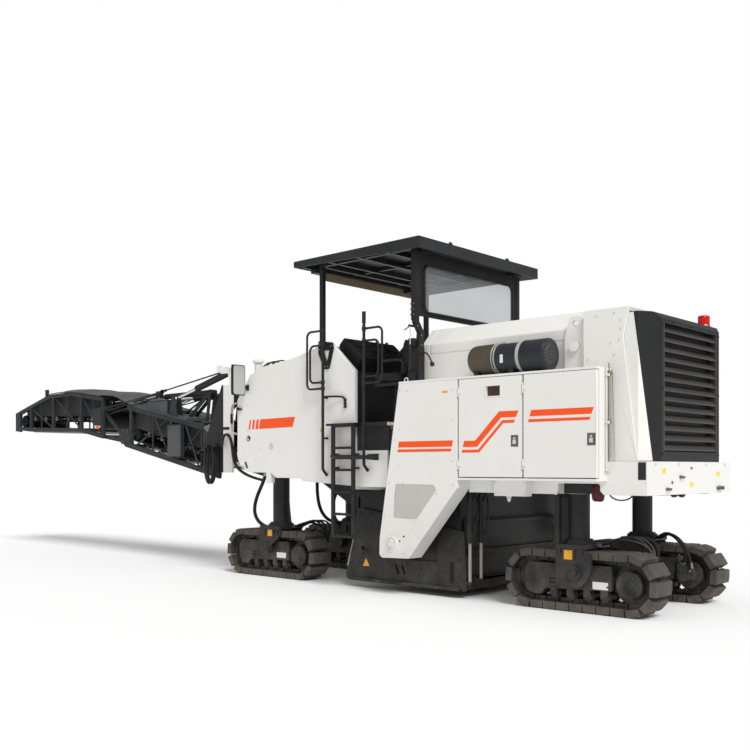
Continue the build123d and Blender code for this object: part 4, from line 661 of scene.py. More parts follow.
shoe = unitBox(*track["shoe"], 0.002, -0.007)
link = unitBox(*track["link"], 0.004, -0.024)
motorHoses = (  # start on the motor, lean of the first bend, bulge of the second
    ((-0.06, 0.310), 0.00, 0.40), ((0.00, 0.325), -0.05, 0.44),
    ((0.05, 0.310), -0.10, 0.36), ((-0.10, 0.330), 0.06, 0.47),
)
crawlers = [  # name, place of the steering column, place of the axle, side
    ("rear_left", 0.932, 0.860, 1), ("rear_right", 0.932, 0.860, -1),
    ("front_left", 5.660, 5.745, 1), ("front_right", 5.660, 5.745, -1),
]
for name, column, axle, hand in crawlers:
    body, middle = "crawler_" + name, hand * track["middle"]
    outward = (0, hand, 0)
    centre = at(axle, middle, track["axle"])
    shoes, links, gaps = [], [], []
    for index in range(track["pads"]):
        for step, places in ((0.5, shoes), (0.0, gaps)):
            x, z, angle = loopPlace((index + step) * loopLength / track["pads"])
            out = Vector((math.cos(angle), 0, math.sin(angle)))
            along = Vector((math.sin(angle), 0, -math.cos(angle)))
            places.append((centre + Vector((x, 0, z)), out, along))
    for point, out, along in shoes:
        sunk, gap = point - out * track["linkSink"], track["linkGap"]
        links += [(sunk + Vector((0, y, 0)), out, along) for y in (-gap, gap)]
    repeatShape("shoes_" + name, shoe, shoes, body, trackSteel)
    repeatShape("links_" + name, link, links, body, trackSteel)
    for point, out, along in gaps:
        heads = [(point + out * 0.006 + Vector((0, y, 0)), out, along, (0.55, 0.55, 0.8))
                 for y in (-0.120, -0.050, 0.050, 0.120)]
        boltSpots.setdefault((body, boltSteel.name), []).extend(heads)
    hub = axle - track["span"] / 2
    bm = bmesh.new()
    addLathe(bm, [(0, 0.144), (0.030, 0.144), (0.038, 0.136), (0.040, 0.128), (0.036, 0.122), (0.036, 0.050),
                  (0.041, 0.046), (0.041, 0)], at(hub, middle + hand * 0.109, track["axle"]), outward, 48)
    addLathe(bm, [(0, 0.074), (0.006, 0.072), (0.008, 0.058), (0.005, 0.052), (0.005, 0.034), (0.016, 0.030),
                  (0.016, 0)], at(axle, middle + hand * track["cap"], track["capHigh"]), outward, 36)
    addRod(bm, at(hub, middle - hand * track["motor"], track["axle"]),
           at(hub, middle - hand * 0.345, track["axle"]), 0.062, 24, 0.008)
    low, high = sorted((middle - hand * 0.300, middle - hand * 0.350))
    addBox(bm, hub - 0.05, hub + 0.05, low, high, 0.365, 0.435, 0.006)
    addBox(bm, hub - 0.125, hub - 0.055, low, high, 0.290, 0.360, 0.006)
    for x in (column - 0.15, column + 0.11):
        for out in (-1, 1):
            low, high = sorted((middle + out * 0.207, middle + out * 0.221))
            addBox(bm, x - 0.012, x + 0.012, low, high, 0.60, 0.669, 0.003)
    makePiece(bm, "fittings_" + name, body, trackSteel)
    capFace = at(axle, middle + hand * 0.2285, track["capHigh"])
    addBolts(body, trackSteel, outward, ringSpots(capFace, outward, 0.043, 3, 0.5), 0.75)
    addBolts(body, trackSteel, upward, ringSpots(at(column, middle, 0.739), upward, 0.163, 14), 0.65)
    face = middle + hand * track["frameFace"]
    pairs = [at(axle + x + s * 0.025, face, 0.243) for x in (-0.3, -0.1, 0.1, 0.3) for s in (-1, 1)]
    addBolts(body, trackSteel, outward, pairs, 0.6)
    singles = [at(axle + x, face, z) for x, z in ((0.46, 0.45), (0.60, 0.44), (-0.34, 0.47), (-0.34, 0.29))]
    addBolts(body, trackSteel, outward, singles, 0.7)
    # pressure hoses from the motor up to the yoke, with steel ends
    bm, ends = bmesh.new(), bmesh.new()
    for index, (start, lean, bulge) in enumerate(motorHoses):
        root = at(hub + start[0], middle - hand * start[1], 0.440 if index else 0.36)
        tip = at(column - 0.206, middle - hand * (0.02 + 0.05 * index), 0.690)
        first, second = Vector((lean - 0.04, -hand * 0.01, 0.12)), Vector((0.04, hand * (0.30 - bulge), 0.34))
        third, last = Vector((-0.16, -hand * 0.10, 0.11)), Vector((-0.05, 0, 0.01))
        route = [root, root + first, root + second, tip + third, tip + last, tip]
        addTube(bm, route, track["hose"], 10, 4)
        way = first.normalized()
        addRod(ends, root - way * 0.03, root + way * 0.035, track["hoseEnd"], 6, 0.002)
        addRod(ends, tip + Vector((-0.05, 0, 0.012)), tip + Vector((0.012, 0, 0)), track["hoseEnd"], 6, 0.002)
    makePiece(bm, "hoses_" + name, body, hoseRubber)
    makePiece(ends, "hose_ends_" + name, body, boltSteel)

# blank plates on the left crawlers
for name, body, y, x0, x1, z0, z1, material in (
        ("plate_rear_yoke", "crawler_rear_left", 0.937, 0.890, 0.992, 0.556, 0.655, plateYellow),
        ("plate_rear_frame", "crawler_rear_left", 0.870, 0.512, 0.690, 0.258, 0.336, plateWhite),
        ("plate_front_yoke", "crawler_front_left", 0.937, 5.624, 5.716, 0.575, 0.662, plateYellow),
        ("plate_front_frame", "crawler_front_left", 0.870, 5.410, 5.600, 0.275, 0.350, plateWhite)):
    bm = bmesh.new()
    addBox(bm, x0, x1, y - 0.001, y + 0.0015, z0, z1, 0.0)
    makePiece(bm, name, body, material)
print("crawlers fitted")


# side panels: latches, sight windows, screws, vent slats, small plates
sightPane = finish("sightPane", (0.060, 0.030, 0.022), (0.030, 0.016, 0.012), 0.12, shine=0.5, grain=40,
                   bump=0.0)
ventGrey = finish("ventGrey", (0.60, 0.595, 0.56), (0.50, 0.49, 0.46), 0.5, grain=120, bump=0.1)
stemSteel = finish("paintedWhiteSteel", (0.70, 0.69, 0.66), (0.55, 0.53, 0.50), 0.4, grain=120, bump=0.1)
latchGrey = finish("latchGrey", (0.13, 0.13, 0.12), (0.10, 0.10, 0.095), 0.45, grain=120, bump=0.1)
plateLemon = finish("plateLemon", (0.86, 0.66, 0.05), (0.78, 0.60, 0.05), 0.45, grain=120, bump=0.0)
darkRed = finish("darkRed", (0.075, 0.010, 0.012), (0.05, 0.008, 0.008), 0.4, grain=120, bump=0.1)
for hand, word in hands:
    for door, x in (("door_front_", 1.360), ("door_rear_", 0.446)):
        bm = bmesh.new()
        sideBox(bm, x + 0.004, x + 0.094, 1.2372, 1.2445, 1.749, 1.868, hand, 0.003)
        sideBox(bm, x + 0.016, x + 0.082, 1.2440, 1.2500, 1.764, 1.852, hand, 0.004)
        makePiece(bm, "latch_" + door + word, door + word, latchGrey)
        bm = bmesh.new()
        sideBox(bm, x + 0.028, x + 0.066, 1.2490, 1.2560, 1.775, 1.822, hand, 0.004)
        addLathe(bm, [(0, 0.011), (0.006, 0.011), (0.008, 0.009), (0.008, 0)],
                 at(x + 0.047, hand * 1.2495, 1.838), (0, hand, 0), 20)
        makePiece(bm, "latch_grip_" + door + word, door + word, ventGrey)
    bm = bmesh.new()
    sideBox(bm, 1.586, 1.778, 1.2120, 1.2180, 2.296, 2.414, hand, 0.0)
    makePiece(bm, "sight_pane_" + word, "door_front_" + word, sightPane)
    bm = bmesh.new()
    for x0, x1, z0, z1 in ((1.578, 1.590, 2.288, 2.422), (1.774, 1.786, 2.288, 2.422),
                           (1.588, 1.776, 2.288, 2.300), (1.588, 1.776, 2.410, 2.422)):
        sideBox(bm, x0, x1, 1.2480, 1.2545, z0, z1, hand, 0.002)
    makePiece(bm, "sight_rim_" + word, "door_front_" + word, whitePaint)
    addSideBolts("chassis", ventGrey, hand, sideFace["cover"],
                 ((3.012, 2.44), (2.902, 2.422), (3.018, 1.975), (2.240, 2.06), (2.230, 2.40), (2.230, 1.60),
                  (3.030, 1.55)), 0.62)
addSideBolts("chassis", ventGrey, 1, sideFace["cover"],
             ((3.092, 1.855), (3.180, 1.349), (3.250, 0.946), (3.270, 0.500), (2.458, 1.229), (3.160, 0.958),
              (2.791, 0.897), (2.963, 1.350), (2.230, 1.33), (2.960, 0.520)), 0.62)
addBolts("chassis", ventGrey, leftward, ringSpots(at(3.150, 1.260, 0.620), leftward, 0.049, 4, 0.4), 0.5)

# slats over the vent, cut to its outline
vent = {
    "outline": [(3.083, 1.330), (2.514, 1.326), (2.470, 1.269), (2.766, 0.928), (3.121, 0.927)],
    "pitch": 0.0118, "slat": 0.0072, "first": 0.934, "last": 1.324,
}
bm = bmesh.new()
z = vent["first"]
while z < vent["last"]:
    crossings = []
    for (xa, za), (xb, zb) in zip(vent["outline"], vent["outline"][1:] + vent["outline"][:1]):
        if (za - z) * (zb - z) < 0:
            crossings.append(xa + (xb - xa) * (z - za) / (zb - za))
    if len(crossings) == 2:
        low, high = z - vent["slat"] / 2, z + vent["slat"] / 2
        addBox(bm, min(crossings), max(crossings), 1.2418, 1.2470, low, high, 0.0)
    z += vent["pitch"]
makePiece(bm, "vent_slats", "chassis", ventGrey)
bm = bmesh.new()
addBox(bm, 2.305, 2.385, 1.249, 1.2512, 2.368, 2.392, 0.0)
makePiece(bm, "plate_cover", "chassis", plateYellow)
bm = bmesh.new()
addLathe(bm, [(0, 0.030), (0.014, 0.030), (0.018, 0.022), (0.050, 0.020), (0.054, 0.012), (0.066, 0.012),
              (0.066, 0)], at(1.572, 1.105, 1.217), downward, 20)
addBox(bm, 1.742, 1.800, 1.030, 1.120, 1.262, 1.372, 0.006)
addBox(bm, 1.742, 1.850, 1.030, 1.060, 1.330, 1.372, 0.004)
makePiece(bm, "tank_drain", "chassis", stemSteel)
drainBolts = [at(1.835, 1.060, 1.35)] + [at(x, 1.150, z) for x in (1.352, 1.718) for z in (1.238, 1.362)]
addBolts("chassis", ventGrey, leftward, drainBolts, 0.6)

# vertical rod behind the rear doors, corner openings and screws on the rear body
for hand, word in hands:
    bm = bmesh.new()
    addRod(bm, at(0.415, hand * 1.085, 1.470), at(0.415, hand * 1.085, 2.545), 0.009, 12)
    for z in (1.50, 1.98, 2.46):
        sideBox(bm, 0.400, 0.436, 1.040, 1.100, z - 0.012, z + 0.012, hand, 0.003)
    makePiece(bm, "corner_rod_" + word, "chassis", stemSteel)
    # dark sheet over each corner opening: painted shade inside the opening
    bm = bmesh.new()
    sideBox(bm, 0.014, 0.098, 1.0295, 1.0315, 1.402, 1.576, hand, 0.0)
    makePiece(bm, "corner_opening_" + word, "chassis", moulded)
    addSideBolts("chassis", ventGrey, hand, 0.951,
                 ((0.606, 3.085), (0.400, 3.095), (0.330, 3.020), (0.330, 2.930), (0.345, 2.820),
                  (0.440, 2.790), (0.400, 2.670), (0.700, 2.640)), 0.62)
    # two red end caps under the arch
    bm = bmesh.new()
    for x, y in ((0.552, 0.965), (0.622, 0.915)):
        addLathe(bm, [(0, 0.040), (0.020, 0.048), (0.110, 0.048), (0.150, 0.040), (0.165, 0.022),
                      (0.168, 0)], at(x, hand * y, 1.340), downward, 24)
    makePiece(bm, "arch_caps_" + word, "chassis", darkRed)
bm = bmesh.new()
addTube(bm, [at(0.425, 1.000, 1.262), at(0.420, 1.000, 1.222), at(0.300, 1.005, 1.170),
             at(0.175, 1.000, 1.218), at(0.165, 1.000, 1.262)], 0.008, 10, 4)
makePiece(bm, "arch_cable", "chassis", hoseRubber)

# rear plate: couplings, white studs and blank plates
bm = bmesh.new()
for y, z, size in ((0.292, 1.427, 0.8), (0.236, 1.424, 0.7), (0.604, 1.305, 0.8), (0.545, 1.303, 0.7),
                   (-0.660, 1.297, 1.0), (-0.725, 1.299, 1.2), (0.030, 1.518, 0.5)):
    addLathe(bm, [(0, 0.022 * size), (0.008, 0.022 * size), (0.010, 0.015 * size),
                  (0.026 * size, 0.015 * size), (0.028 * size, 0.019 * size), (0.040 * size, 0.019 * size),
                  (0.042 * size, 0)], at(0, y, z), rearward, 18)
for y, z in ((0.264, 1.426), (0.575, 1.304), (-0.692, 1.298)):
    addBox(bm, -0.014, 0.001, y - 0.026, y + 0.026, z - 0.006, z + 0.006, 0.002)
makePiece(bm, "rear_couplings", "chassis", latchGrey)
bm = bmesh.new()
addLathe(bm, [(0, 0.015), (0.008, 0.015), (0.010, 0.010), (0.010, 0)], at(0, 0.481, 1.371), rearward, 20)
makePiece(bm, "rear_red_cap", "chassis", redLens)
bm = bmesh.new()
for y, z in ((0.327, 1.565), (-0.357, 1.565), (0.86, 1.565), (-0.86, 1.565)):
    addLathe(bm, [(0, 0.018), (0.008, 0.018), (0.012, 0.012), (0.012, 0)], at(0, y, z), rearward, 20)
makePiece(bm, "rear_studs", "chassis", stemSteel)
for index, (y, z) in enumerate(((0.665, 1.490), (-0.679, 1.453), (0.012, 1.345))):
    bm = bmesh.new()
    addBox(bm, -0.0015, 0.001, y - 0.042, y + 0.042, z - 0.026, z + 0.026, 0.0)
    makePiece(bm, f"plate_rear_{index}", "chassis", plateLemon)
rimBolts = [(y, z) for y in (-0.690, 0.690) for z in (1.66, 2.98, 2.32)]
rimBolts += [(y, 3.012) for y in (-0.45, 0, 0.45)]
addBolts("chassis", darkPaint, rearward, [at(0, y, z) for y, z in rimBolts], 0.7)

# beacon: metal foot and ribbed red lens
beacon = {"x": 0.150, "y": -0.650, "foot": 3.095, "lens": 3.122, "ribs": 10, "pitch": 0.007}
bm = bmesh.new()
addLathe(bm, [(-0.040, 0), (-0.040, 0.080), (0.004, 0.078), (0.012, 0.068), (0.028, 0.064), (0.028, 0)],
         at(beacon["x"], beacon["y"], beacon["foot"]), upward, 36)
makePiece(bm, "beacon_foot", "chassis", boltSteel)
bm = bmesh.new()
ribs = [(0.010 + beacon["pitch"] * i, 0.0640 if i % 2 else 0.0655) for i in range(beacon["ribs"])]
crown = [(0.080, 0.066), (0.094, 0.064), (0.103, 0.056), (0.106, 0.040), (0.107, 0)]
addLathe(bm, [(0, 0.066), (0.008, 0.066)] + ribs + crown, at(beacon["x"], beacon["y"], beacon["lens"]),
         upward, 40)
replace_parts(makePiece(bm, "beacon_lens", "chassis", redLens), "beacon")

# air cleaner: brown bowl, black body, bright bands and a vented end cap
cleaner = {"y": 1.055, "z": 2.722, "front": 2.080, "slits": 22, "grille": 0.104, "grillePitch": 0.020}
bandGrey = finish("bandGrey", (0.40, 0.40, 0.39), (0.30, 0.30, 0.29), 0.35, shine=0.5, grain=60, bump=0.0)
cleanerBlue = finish("cleanerBlue", (0.020, 0.022, 0.028), (0.032, 0.033, 0.038), 0.40, stainAmount=0.5,
                     grain=90, bump=0.05)
capGrey = finish("capGrey", (0.075, 0.078, 0.078), (0.10, 0.10, 0.098), 0.5, grain=200, bump=0.1)
start = at(cleaner["front"], cleaner["y"], cleaner["z"])
bm = bmesh.new()
addLathe(bm, [(0, 0), (0.0, 0.110), (0.012, 0.138), (0.040, 0.158), (0.080, 0.166), (0.330, 0.168),
              (0.330, 0)], start, rearward, 56)
makePiece(bm, "cleaner_bowl", "chassis", canisterBrown)
bm = bmesh.new()
addLathe(bm, [(0.330, 0), (0.330, 0.160), (0.700, 0.160), (0.700, 0.166), (0.712, 0.172), (0.984, 0.172),
              (0.994, 0.1695), (1.001, 0.163), (1.005, 0.152), (1.005, 0)], start, rearward, 56)
for x in (1.480, 1.940):
    addBox(bm, x, x + 0.060, 0.945, 1.165, 2.535, 2.640, 0.006)
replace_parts(makePiece(bm, "cleaner_body", "chassis", cleanerBlue), "air_cleaner")
bm = bmesh.new()
for low, high, radius in ((0.340, 0.352, 0.1725), (0.372, 0.384, 0.1725), (0.660, 0.698, 0.1745)):
    addLathe(bm, [(low, 0.150), (low, radius - 0.002), (low + 0.002, radius), (high - 0.002, radius),
                  (high, radius - 0.002), (high, 0.150)], start, rearward, 56)
for along in (0.380, 0.677):
    x = cleaner["front"] - along
    addBox(bm, x - 0.020, x + 0.020, 1.000, 1.030, 2.880, 2.905, 0.003)
makePiece(bm, "cleaner_bands", "chassis", bandGrey)
bm = bmesh.new()
addLathe(bm, [(1.0045, 0), (1.0045, 0.112), (1.010, 0.108), (1.010, 0.096), (1.007, 0.092), (1.008, 0)],
         start, rearward, 48)
makePiece(bm, "cleaner_cap", "chassis", capGrey)
bm = bmesh.new()
addBox(bm, cleaner["front"] - 0.500, cleaner["front"] - 0.462, 1.212, 1.2165, 2.655, 2.745, 0.0)
makePiece(bm, "cleaner_plate", "chassis", plateWhite)
slit = unitBox(0.030, 0.013, 0.004, 0.0)
end = start + Vector((-1.004, 0, 0))
ring = ringSpots(end, rearward, 0.136, cleaner["slits"])
spots = [(point, rearward, (point - end).normalized()) for point in ring]
repeatShape("cleaner_slits", slit, spots, "chassis", capGrey)
bm = bmesh.new()
for i in range(-5, 6):
    rise = cleaner["grillePitch"] * i
    reach = math.sqrt(cleaner["grille"] ** 2 - rise ** 2)
    addRod(bm, end + Vector((-0.0045, reach, rise)), end + Vector((-0.0045, -reach, rise)), 0.003, 6)
makePiece(bm, "cleaner_grille", "chassis", cleanerBlue)
print("side panels, rear plate and air cleaner fitted")


# discharge conveyor: arched cover sheets, skirts, idlers, ropes, hoses, plates
def sweepArch(bm, path, half, rise, thick=0.006, lift=0.004, count=18):
    # arched sheet over a line of (x, z) points
    rows = []
    across = [2 * i / count - 1 for i in range(count + 1)]
    for x, z in path:
        for drop in (0.0, thick):
            rows.append([bm.verts.new(at(x, half * u, z + lift - drop + rise * (1 - u ** 2)))
                         for u in across])
    tops, unders = rows[0::2], rows[1::2]
    for low, high in zip(tops, tops[1:]):
        for i in range(count):
            bm.faces.new((low[i], low[i + 1], high[i + 1], high[i]))
    for low, high in zip(unders, unders[1:]):
        for i in range(count):
            bm.faces.new((low[i + 1], low[i], high[i], high[i + 1]))
    for i in range(count):
        bm.faces.new((tops[0][i + 1], tops[0][i], unders[0][i], unders[0][i + 1]))
        bm.faces.new((tops[-1][i], tops[-1][i + 1], unders[-1][i + 1], unders[-1][i]))
    for low, high, lowUnder, highUnder in zip(tops, tops[1:], unders, unders[1:]):
        bm.faces.new((low[0], high[0], highUnder[0], lowUnder[0]))
        bm.faces.new((high[-1], low[-1], lowUnder[-1], highUnder[-1]))


def rearHigh(x):
    # top edge of the rear truss
    return 2.142 + 0.1935 * (x - 7.630)


def curved(points, steps=6):
    # the line through these points with its corners rounded off
    made = []
    for i in range(len(points) - 1):
        a, b, c, d = points[max(i - 1, 0)], points[i], points[i + 1], points[min(i + 2, len(points) - 1)]
        for s in range(steps):
            t = s / steps
            spot = []
            for p, q, r, w in zip(a, b, c, d):
                square, cube = 2 * p - 5 * q + 4 * r - w, 3 * q - p - 3 * r + w
                spot.append(0.5 * (2 * q + (r - p) * t + square * t * t + cube * t ** 3))
            made.append(tuple(spot))
    return made + [points[-1]]


coverGrey = finish("coverGrey", (0.060, 0.066, 0.070), (0.105, 0.108, 0.108), 0.42, stainScale=2.2,
                   stainAmount=0.7, grain=110, bump=0.1)
flankGrey = finish("flankGrey", (0.130, 0.138, 0.140), (0.20, 0.20, 0.195), 0.45, stainScale=3,
                   stainAmount=0.5, grain=120, bump=0.08)
conveyor = {"half": 0.546, "rise": 0.078, "hose": 0.019}
bm = bmesh.new()
sweepArch(bm, [(x, rearHigh(x) + 0.039) for x in (7.700, 8.000, 8.300, 8.640)],
          conveyor["half"], conveyor["rise"])
sweepArch(bm, [(x, rearHigh(x) + 0.041) for x in (8.655, 9.000, 9.350, 9.720)],
          conveyor["half"] + 0.003, conveyor["rise"] + 0.003)
for x in (7.705, 8.640, 9.712):
    sweepArch(bm, [(x, rearHigh(x) + 0.048), (x + 0.030, rearHigh(x + 0.030) + 0.048)],
              conveyor["half"] + 0.008, conveyor["rise"] + 0.004, 0.010)
makePiece(bm, "cover_rear", "conveyor_rear", coverGrey, 40)
bm = bmesh.new()
upper = curved([(10.640, 2.792), (11.655, 2.920), (12.454, 2.905)])
sweepArch(bm, upper, conveyor["half"], conveyor["rise"])
for x, z in ((10.66, 2.800), (11.30, 2.886), (11.95, 2.926), (12.42, 2.912)):
    sweepArch(bm, [(x, z), (x + 0.030, z + 0.002)], conveyor["half"] + 0.006, conveyor["rise"] + 0.006, 0.012)
makePiece(bm, "cover_front", "conveyor_front", coverGrey, 40)
bm = bmesh.new()
kneeLine = [(9.640, rearHigh(9.64) + 0.055), (9.90, 2.670), (10.22, 2.775), (10.560, 2.800), (10.700, 2.815)]
sweepArch(bm, curved(kneeLine), conveyor["half"] + 0.004, conveyor["rise"] + 0.010)
makeBlend(bm, "cover_gap",
          coverGrey)

# skirts beside the belts, from the belt up to the covers
skirts = {
    "conveyor_rear": ("skirt_rear_", [
        (7.560, 1.770), (9.690, 2.205), (9.690, 2.545), (7.700, 2.160), (7.560, 2.090)]),
    "conveyor_front": ("skirt_front_", [
        (10.700, 2.440), (13.450, 2.545), (13.450, 2.660),
        (12.450, 2.860), (11.650, 2.880), (10.700, 2.760)]),
}
for body, (name, outline) in skirts.items():
    for hand, word in hands:
        bm = bmesh.new()
        sidePlate(bm, outline, 0.440, 0.448, hand)
        makePiece(bm, name + word, body, beltRubber)

# idler rollers with their brackets under the carrying belt, and the return rollers
belts = {
    "conveyor_rear": {"root": (7.470, 1.640), "tip": (9.700, 2.095), "idlers": 5, "cleats": 12},
    "conveyor_front": {"root": (10.730, 2.330), "tip": (13.580, 2.440), "idlers": 6, "cleats": 15},
}
roller = bmesh.new()
addLathe(roller, [(-0.425, 0), (-0.425, 0.038), (-0.420, 0.042), (0.420, 0.042), (0.425, 0.038), (0.425, 0)],
         Vector((0, 0, 0)), (1, 0, 0), 20)
addRod(roller, Vector((-0.500, 0, 0)), Vector((0.500, 0, 0)), 0.011, 10)
roller = shapeFrom(roller)
for body, belt in belts.items():
    (rootX, rootZ), (tipX, tipZ) = belt["root"], belt["tip"]
    spots = []
    for i in range(1, belt["idlers"] + 1):
        t = i / (belt["idlers"] + 1)
        x, z = rootX + (tipX - rootX) * t, rootZ + (tipZ - rootZ) * t
        spots += [(at(x, 0, z + 0.062), upward, leftward), (at(x + 0.06, 0, z - 0.165), upward, leftward)]
    repeatShape("idlers_" + body, roller, spots, body, boltSteel)

# thin cross bracing, cross plates and small boxes on the trusses
for hand, word in hands:
    bm = bmesh.new()
    for (xa, za), (xb, zb) in (((7.74, 1.52), (7.74, 2.12)), ((9.05, 1.80), (9.05, 2.38)),
                               ((8.62, 1.76), (9.00, 2.36)), ((7.82, 1.56), (8.15, 2.20))):
        addRod(bm, at(xa, hand * 0.532, za), at(xb, hand * 0.532, zb), 0.014, 10)
    sideBox(bm, 7.660, 8.130, 0.470, 0.538, 2.258, 2.300, hand, 0.004)
    makePiece(bm, "bracing_rear_" + word, "conveyor_rear", greyPaint)
    bm = bmesh.new()
    for (xa, za), (xb, zb) in (
            ((10.90, 2.16), (10.90, 2.74)), ((10.62, 2.10), (11.28, 2.80)), ((11.34, 2.24), (12.26, 2.84)),
            ((11.80, 2.25), (11.80, 2.87)), ((12.34, 2.28), (13.10, 2.66)), ((12.75, 2.27), (12.75, 2.79))):
        addRod(bm, at(xa, hand * 0.515, za), at(xb, hand * 0.515, zb), 0.015, 10)
    sidePlate(bm, [(10.600, 2.290), (10.870, 2.300), (10.900, 2.560), (10.620, 2.600)],
              0.541, 0.549, hand, 0.002)
    makePiece(bm, "bracing_front_" + word, "conveyor_front", greyPaint)
    bm = bmesh.new()
    sidePlate(bm, [(7.660, 2.165), (7.260, 2.260), (7.205, 2.240), (7.195, 1.930), (7.260, 1.900),
                   (7.640, 2.120)], 0.541, 0.548, hand, 0.002)
    makePiece(bm, "flank_" + word, "conveyor_rear", flankGrey)
    bm = bmesh.new()
    sidePlate(bm, [(9.700, 1.960), (9.960, 1.930), (10.060, 2.060), (9.960, 2.200), (9.740, 2.180)],
              0.541, 0.549, hand, 0.002)
    makePiece(bm, "gusset_" + word, "conveyor_rear", greyPaint)
    addSideBolts("conveyor_rear", boltSteel, hand, 0.549,
                 ((9.76, 2.00), (9.92, 1.98), (9.98, 2.08), (9.92, 2.16), (9.78, 2.14)), 0.6)
    topPlaces = [(x, rearHigh(x)) for x in (7.8, 8.1, 8.4, 8.7, 9.0, 9.3, 9.6)]
    addSideBolts("conveyor_rear", greyPaint, hand, 0.540, topPlaces, 0.6)
bm = bmesh.new()
for x in (8.230, 8.520):
    for z in (1.740, 2.165):
        addBox(bm, x - 0.02, x + 0.02, 0.594, 0.602, z - 0.012, z + 0.012, 0.002)
addBox(bm, 8.205, 8.545, 0.594, 0.598, 1.705, 2.200, 0.002)
addBox(bm, 8.700, 9.260, 0.499, 0.504, 2.400, 2.620, 0.002)
makePiece(bm, "box_lids", "conveyor_rear", coverGrey)
amber = finish("amberReflector", (0.80, 0.22, 0.02), (0.60, 0.16, 0.02), 0.15, shine=0.5, grain=200, bump=0.1)
for hand, word in hands:
    bm = bmesh.new()
    sideBox(bm, 10.660, 10.780, 0.5480, 0.5560, 2.215, 2.275, hand, 0.004)
    makePiece(bm, "reflector_" + word, "conveyor_front", amber)

# tie ropes and rods with their eyes; each spans the two bodies it joins and has no parent
ties = [  # name, first and second body, ends, radius, where the bend starts and ends
    ("tie_top_", "conveyor_rear", "conveyor_front",
     (8.741, 0.560, 2.771), (10.371, 0.585, 2.568), 0.012, (9.2, 0, 2.71), (10.3, 0, 2.57)),
    ("tie_mast_", "slew", "conveyor_rear",
     (7.120, 0.480, 3.020), (8.741, 0.560, 2.771), 0.012, (7.4, 0, 2.98), (8.5, 0, 2.80)),
    ("tie_knee_", "conveyor_rear", "conveyor_front",
     (9.070, 0.400, 2.770), (10.715, 0.500, 2.490), 0.013, (9.5, 0, 2.7), (10.5, 0, 2.55)),
    ("tie_low_", "conveyor_rear", "conveyor_front",
     (9.070, 0.360, 2.730), (10.660, 0.480, 2.430), 0.010, (9.5, 0, 2.7), (10.5, 0, 2.5)),
]
for hand, word in hands:
    for name, first, second, root, tip, radius, start, end in ties:
        bm = bmesh.new()
        a, b = at(root[0], hand * root[1], root[2]), at(tip[0], hand * tip[1], tip[2])
        for low, high in zip(between(a, b, 9), between(a, b, 9)[1:]):
            addRod(bm, low, high, radius, 10)
        for point, way in ((a, (b - a).normalized()), (b, (a - b).normalized())):
            addRod(bm, point, point + way * 0.10, radius + 0.009, 12, 0.003)
            addRod(bm, point + Vector((0, 0.022, 0)), point - Vector((0, 0.022, 0)), 0.030, 16, 0.004)
        makeBlend(bm, name + word, darkPaint)
    # link arm from the knee down to the truss, and the mast's cheek
    bm = bmesh.new()
    addRod(bm, at(7.780, hand * 0.300, 2.715), at(8.330, hand * 0.380, 2.420), 0.016, 12)
    addRod(bm, at(8.330, hand * 0.330, 2.420), at(8.330, hand * 0.440, 2.420), 0.030, 16, 0.004)
    sideBox(bm, 9.030, 9.110, 0.335, 0.430, 2.700, 2.800, hand, 0.008)
    makePiece(bm, "link_arm_" + word, "conveyor_rear", darkPaint)
    bm = bmesh.new()
    sideBox(bm, 7.200, 7.320, 0.545, 0.565, 2.980, 3.090, hand, 0.010)
    sideBox(bm, 7.075, 7.250, 0.530, 0.548, 2.960, 3.060, hand, 0.006)
    makePiece(bm, "mast_cheek_" + word, "slew", whitePaint)

# white head on the mast, cables to it, hoses at the conveyor's root
bm = bmesh.new()
addLathe(bm, [(0, 0.088), (0.030, 0.088), (0.040, 0.078), (0.060, 0.045), (0.062, 0)],
         at(7.000, 0, 3.155), upward, 32)
addBox(bm, 6.940, 7.060, -0.16, 0.16, 2.775, 2.800, 0.006)
makePiece(bm, "mast_head", "slew", whitePaint)
bm = bmesh.new()
for index, y in enumerate((0.30, 0.22, 0.10)):
    addTube(bm, [at(5.980, y + 0.05, 2.790), at(6.040, y + 0.04, 2.940 + 0.04 * index),
                 at(6.330, y, 3.130 + 0.03 * index), at(6.680, y * 0.6, 3.080), at(6.900, y * 0.4, 2.930),
                 at(6.960, y * 0.4, 2.800)], 0.011, 10, 4)
makeBlend(bm, "mast_cables", hoseRubber)
bm = bmesh.new()
for shift in (0.0, 0.046):
    addTube(bm, [at(7.445 + shift / 2, 0.614 + shift, 1.860), at(7.490 + shift / 3, 0.614 + shift, 1.617),
                 at(7.482, 0.614 + shift, 1.381), at(7.388, 0.614 + shift, 1.240),
                 at(7.292, 0.614 + shift, 1.382), at(7.272, 0.614 + shift, 1.592),
                 at(7.300, 0.612 + shift, 1.860)], conveyor["hose"], 12, 4)
makePiece(bm, "loop_hoses", "slew", hoseRubber)
bm = bmesh.new()
for index, shift in enumerate((0.0, 0.075)):
    y = 0.640 + 0.050 * index
    addTube(bm, [at(7.150 - shift, y - 0.03, 1.850), at(7.089 - shift, y, 1.986),
                 at(7.010 - shift, y, 2.045), at(6.906 - shift, y, 1.990), at(6.852 - shift, y, 1.819),
                 at(6.835 - shift, y, 1.614), at(6.800 - shift, y - 0.08, 1.477),
                 at(6.680 - shift, y - 0.20, 1.380), at(6.480 - shift, y - 0.26, 1.340)], 0.020, 12, 4)
makeBlend(bm, "root_hoses", hoseRubber)
bm = bmesh.new()
for x, z in ((7.430, 1.850), (7.615, 1.760), (7.235, 1.860)):
    addBox(bm, x - 0.045, x + 0.045, 0.572, 0.700, z - 0.020, z + 0.020, 0.005)
makePiece(bm, "hose_clamps", "slew", darkPaint)
bm = bmesh.new()
